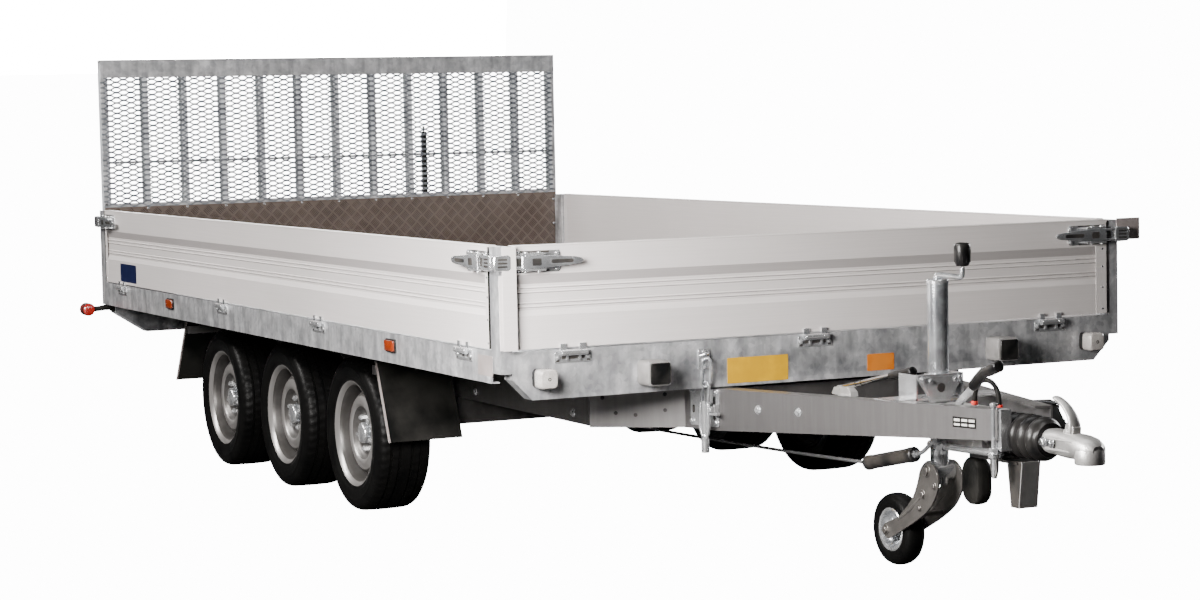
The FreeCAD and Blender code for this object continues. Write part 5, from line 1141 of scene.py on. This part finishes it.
disc.finish("zinc", "jockey_wheel", replaces="jockey_rim")

# --- Chock, prop leg and hose ---------------------------------------------------------------

chock, holder = Piece("wheel_chock_block"), Piece("wheel_chock_holder")
chock.m = holder.m = LEFT_ARM
x0, y0 = 830, 2
chock.prism([(x0, 434), (x0 + 160, 434), (x0 + 156, 446), (x0 + 120, 462), (x0 + 80, 486), (x0 + 46, 505),
             (x0 + 4, 506)], "y", y0 + 4, y0 + 74)
for k in range(7):
    chock.block((x0 + 14 + 20 * k, y0 + 1.5, 438), (x0 + 19 + 20 * k, y0 + 78, 452 + max(0, 44 - 7 * k)))
holder.prism([(x0 - 8, 426), (x0 + 166, 426), (x0 + 166, 431), (x0 - 8, 431)], "y", y0, y0 + 70)
holder.tube([(x0 + 60, y0 + 4, 428), (x0 + 60, y0 + 76, 430), (x0 + 60, y0 + 78, 500),
             (x0 + 60, y0 + 4, 508)], 4.5, 10)
chock.finish("black_plastic", "chassis", replaces="wheel_chock", bevel=1.5)
holder.finish("zinc", "chassis", bevel=0.5)

# The folded prop leg is near-black, painted shade over its galvanised steel, while its front face is a plain
# grey.
prop = Piece("prop_leg_folded")
prop.prism([(1003, 246), (1040, 246), (1056, 373), (986, 373)], "y", -30, -26)
foot = Piece("prop_leg_front_face")
foot.prism([(1037, 246), (1042, 246), (1058, 373), (1053, 373)], "y", -30, 30)
foot.finish("cast_steel", "chassis", slot="galvanised", bevel=1)
prop.prism([(820, 364), (1040, 364), (1040, 372), (820, 372)], "y", -35, 35)
prop.prism([(820, 372), (920, 372), (920, 380), (820, 380)], "y", -35, 35)
prop.pin(972, 370, 34, 7, 14)
prop.finish("black_steel", "chassis", slot="galvanised", replaces="prop_leg", bevel=1)
sling = Piece("nose_rubber_stop")
outline = rounded((88, 134, 40), (797, 293), 8)
sling.puffed(outline, "y", [(-22, 0.9), (-16, 0.98), (-8, 1), (8, 1), (16, 0.98), (22, 0.9)])
sling.block((775, -10, 355), (815, 10, 382))
sling.finish("rubber", "chassis", angle=50)
under = Piece("nose_under_bar")
under.tube([(654, -60, 384), (800, -60, 387), (1000, -60, 392)], 11, 16)
under.prism([(706, 374), (734, 374), (740, 392), (734, 402), (706, 402), (700, 392)], "y", -74, -46)
under.bolts([(720, -60, 374)], (0, 0, -1), 7, 12)
under.finish("zinc", "chassis", bevel=1)

HOSE = [(790, 500), (790, 540), (814, 568), (850, 578), (886, 568), (910, 540), (910, 500)]
curve = bpy.data.curves.new("brake_hose_loop", "CURVE")
curve.dimensions, curve.bevel_depth, curve.bevel_resolution, curve.resolution_u = "3D", 0.007, 4, 12
curve.use_fill_caps = True
spline = curve.splines.new("NURBS")
spline.points.add(len(HOSE) - 1)
for point, (x, z) in zip(spline.points, HOSE):
    point.co = (*(HOME @ Vector((x, 0, z))), 1)
spline.order_u, spline.use_endpoint_u = 3, True
curve.materials.append(M["rubber"])
hose = bpy.data.objects.new("brake_hose_loop", curve)
bpy.context.scene.collection.objects.link(hose)
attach(hose, "chassis")
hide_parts("brake_hose")

ends = Piece("hose_collars")
for x in (790, 910):
    ends.lathe([(7, 502), (9.5, 503), (9.5, 512), (7, 513)], (x, 0, 0), "z", 20)
ends.finish("red_plastic", "chassis", slot="red_lens")
ends = Piece("hose_nuts")
ends.bolts([(x, 0, 493) for x in (790, 910)], "z", 11, 9)
ends.finish("zinc", "chassis")

# --- Mudflap strips -------------------------------------------------------------------------

strip = Piece("flap_edge_strips")
for sign in SIGNS:
    y0, y1 = sorted((sign * 952, sign * 957.6))
    for top_x, top_z, low_x, low_z in ((-1305, 522, -1197, 263), (-3380, 522, -3531, 279)):
        strip.prism([(top_x - 1, top_z), (low_x - 1, low_z), (low_x + 7.4, low_z), (top_x + 7.4, top_z)], "y",
                    y0, y1)
strip.finish("plate_grey", "chassis", slot="galvanised", bevel=0.5)

# --- Stage ----------------------------------------------------------------------------------

floor_mesh = bpy.data.meshes.new("studio_floor")
floor_mesh.from_pydata([(-90, -90, 0), (90, -90, 0), (90, 90, 0), (-90, 90, 0)], [], [(0, 1, 2, 3)])
floor = bpy.data.objects.new("studio_floor", floor_mesh)
bpy.context.scene.collection.objects.link(floor)
floor.location.z = -0.0005
paint = Finish("floor", "studio_floor_paint", grey(0.008), grey(0.012), 0, (0.5, 0.6), 0.5, 60,
               bump=0).material
floor.data.materials.append(paint)


def seen_and_lit(tree, lit, seen, out):
    """What the camera sees is one shader and what lights the trailer is another."""
    path, both = tree.nodes.new("ShaderNodeLightPath"), tree.nodes.new("ShaderNodeMixShader")
    tree.links.new(path.outputs["Is Camera Ray"], both.inputs[0])
    tree.links.new(lit, both.inputs[1])
    tree.links.new(seen, both.inputs[2])
    tree.links.new(both.outputs[0], out)


STAGE_GLOW = 14.0
tree = paint.node_tree
glow = tree.nodes.new("ShaderNodeEmission")
glow.inputs["Strength"].default_value = STAGE_GLOW
seen_and_lit(tree, tree.nodes["Principled BSDF"].outputs[0], glow.outputs[0],
             tree.nodes["Material Output"].inputs["Surface"])

world = bpy.data.worlds.new("studio")
bpy.context.scene.world = world
world.use_nodes = True
tree = world.node_tree
sky = tree.nodes["Background"]
sky.inputs["Color"].default_value = (0.93, 0.95, 1.0, 1)
sky.inputs["Strength"].default_value = 0.035
backdrop = tree.nodes.new("ShaderNodeBackground")
backdrop.inputs["Color"].default_value = (1, 1, 1, 1)
backdrop.inputs["Strength"].default_value = STAGE_GLOW
seen_and_lit(tree, sky.outputs[0], backdrop.outputs[0], tree.nodes["World Output"].inputs["Surface"])


def lamp(name, where, target, size, power, colour=(1, 1, 1), seen=True):
    light = bpy.data.lights.new(name, "AREA")
    light.shape, light.size, light.size_y = "RECTANGLE", size[0], size[1]
    light.energy, light.color = power, colour
    o = bpy.data.objects.new(name, light)
    bpy.context.scene.collection.objects.link(o)
    o.location = where
    o.rotation_euler = (Vector(target) - Vector(where)).to_track_quat("-Z", "Y").to_euler()
    o.visible_camera = seen


lamp("key", (2.6, -2.3, 1.3), (1.4, -0.9, 0.7), (1.0, 0.8), 285, (1, 0.975, 0.95), seen=False)
lamp("side", (-1.5, -6.5, 5.2), (-1.2, -0.9, 0.5), (6, 1.2), 1180, (1, 0.975, 0.95))
lamp("top", (0.2, -0.3, 6.5), (0, 0, 0), (6.5, 2.5), 240)
lamp("far", (-0.5, 7.5, 2.6), (-0.8, 0, 0.5), (6, 2), 520)
lamp("back", (-9, 1.5, 2.6), (-2.5, 0, 0.7), (4, 2), 620)

# --- Camera ---------------------------------------------------------------------------------

azimuth, elevation, roll = math.radians(64.13), math.radians(4.07), math.radians(-1.19)
back = Vector((math.sin(azimuth) * math.cos(elevation), -math.cos(azimuth) * math.cos(elevation),
               math.sin(elevation)))
right = (-back).cross(Vector((0, 0, 1))).normalized()
up = right.cross(-back)
side = math.cos(roll) * right + math.sin(roll) * up
above = -math.sin(roll) * right + math.cos(roll) * up
camera_data = bpy.data.cameras.new("camera")
camera_data.sensor_width, camera_data.lens = 36, 81.46
camera_data.clip_end = 500
camera = bpy.data.objects.new("camera", camera_data)
bpy.context.scene.collection.objects.link(camera)
axes = Matrix((side, above, back)).transposed()
camera.matrix_world = Matrix.Translation((8.478, -4.1767, 1.3437)) @ axes.to_4x4()
bpy.context.scene.camera = camera
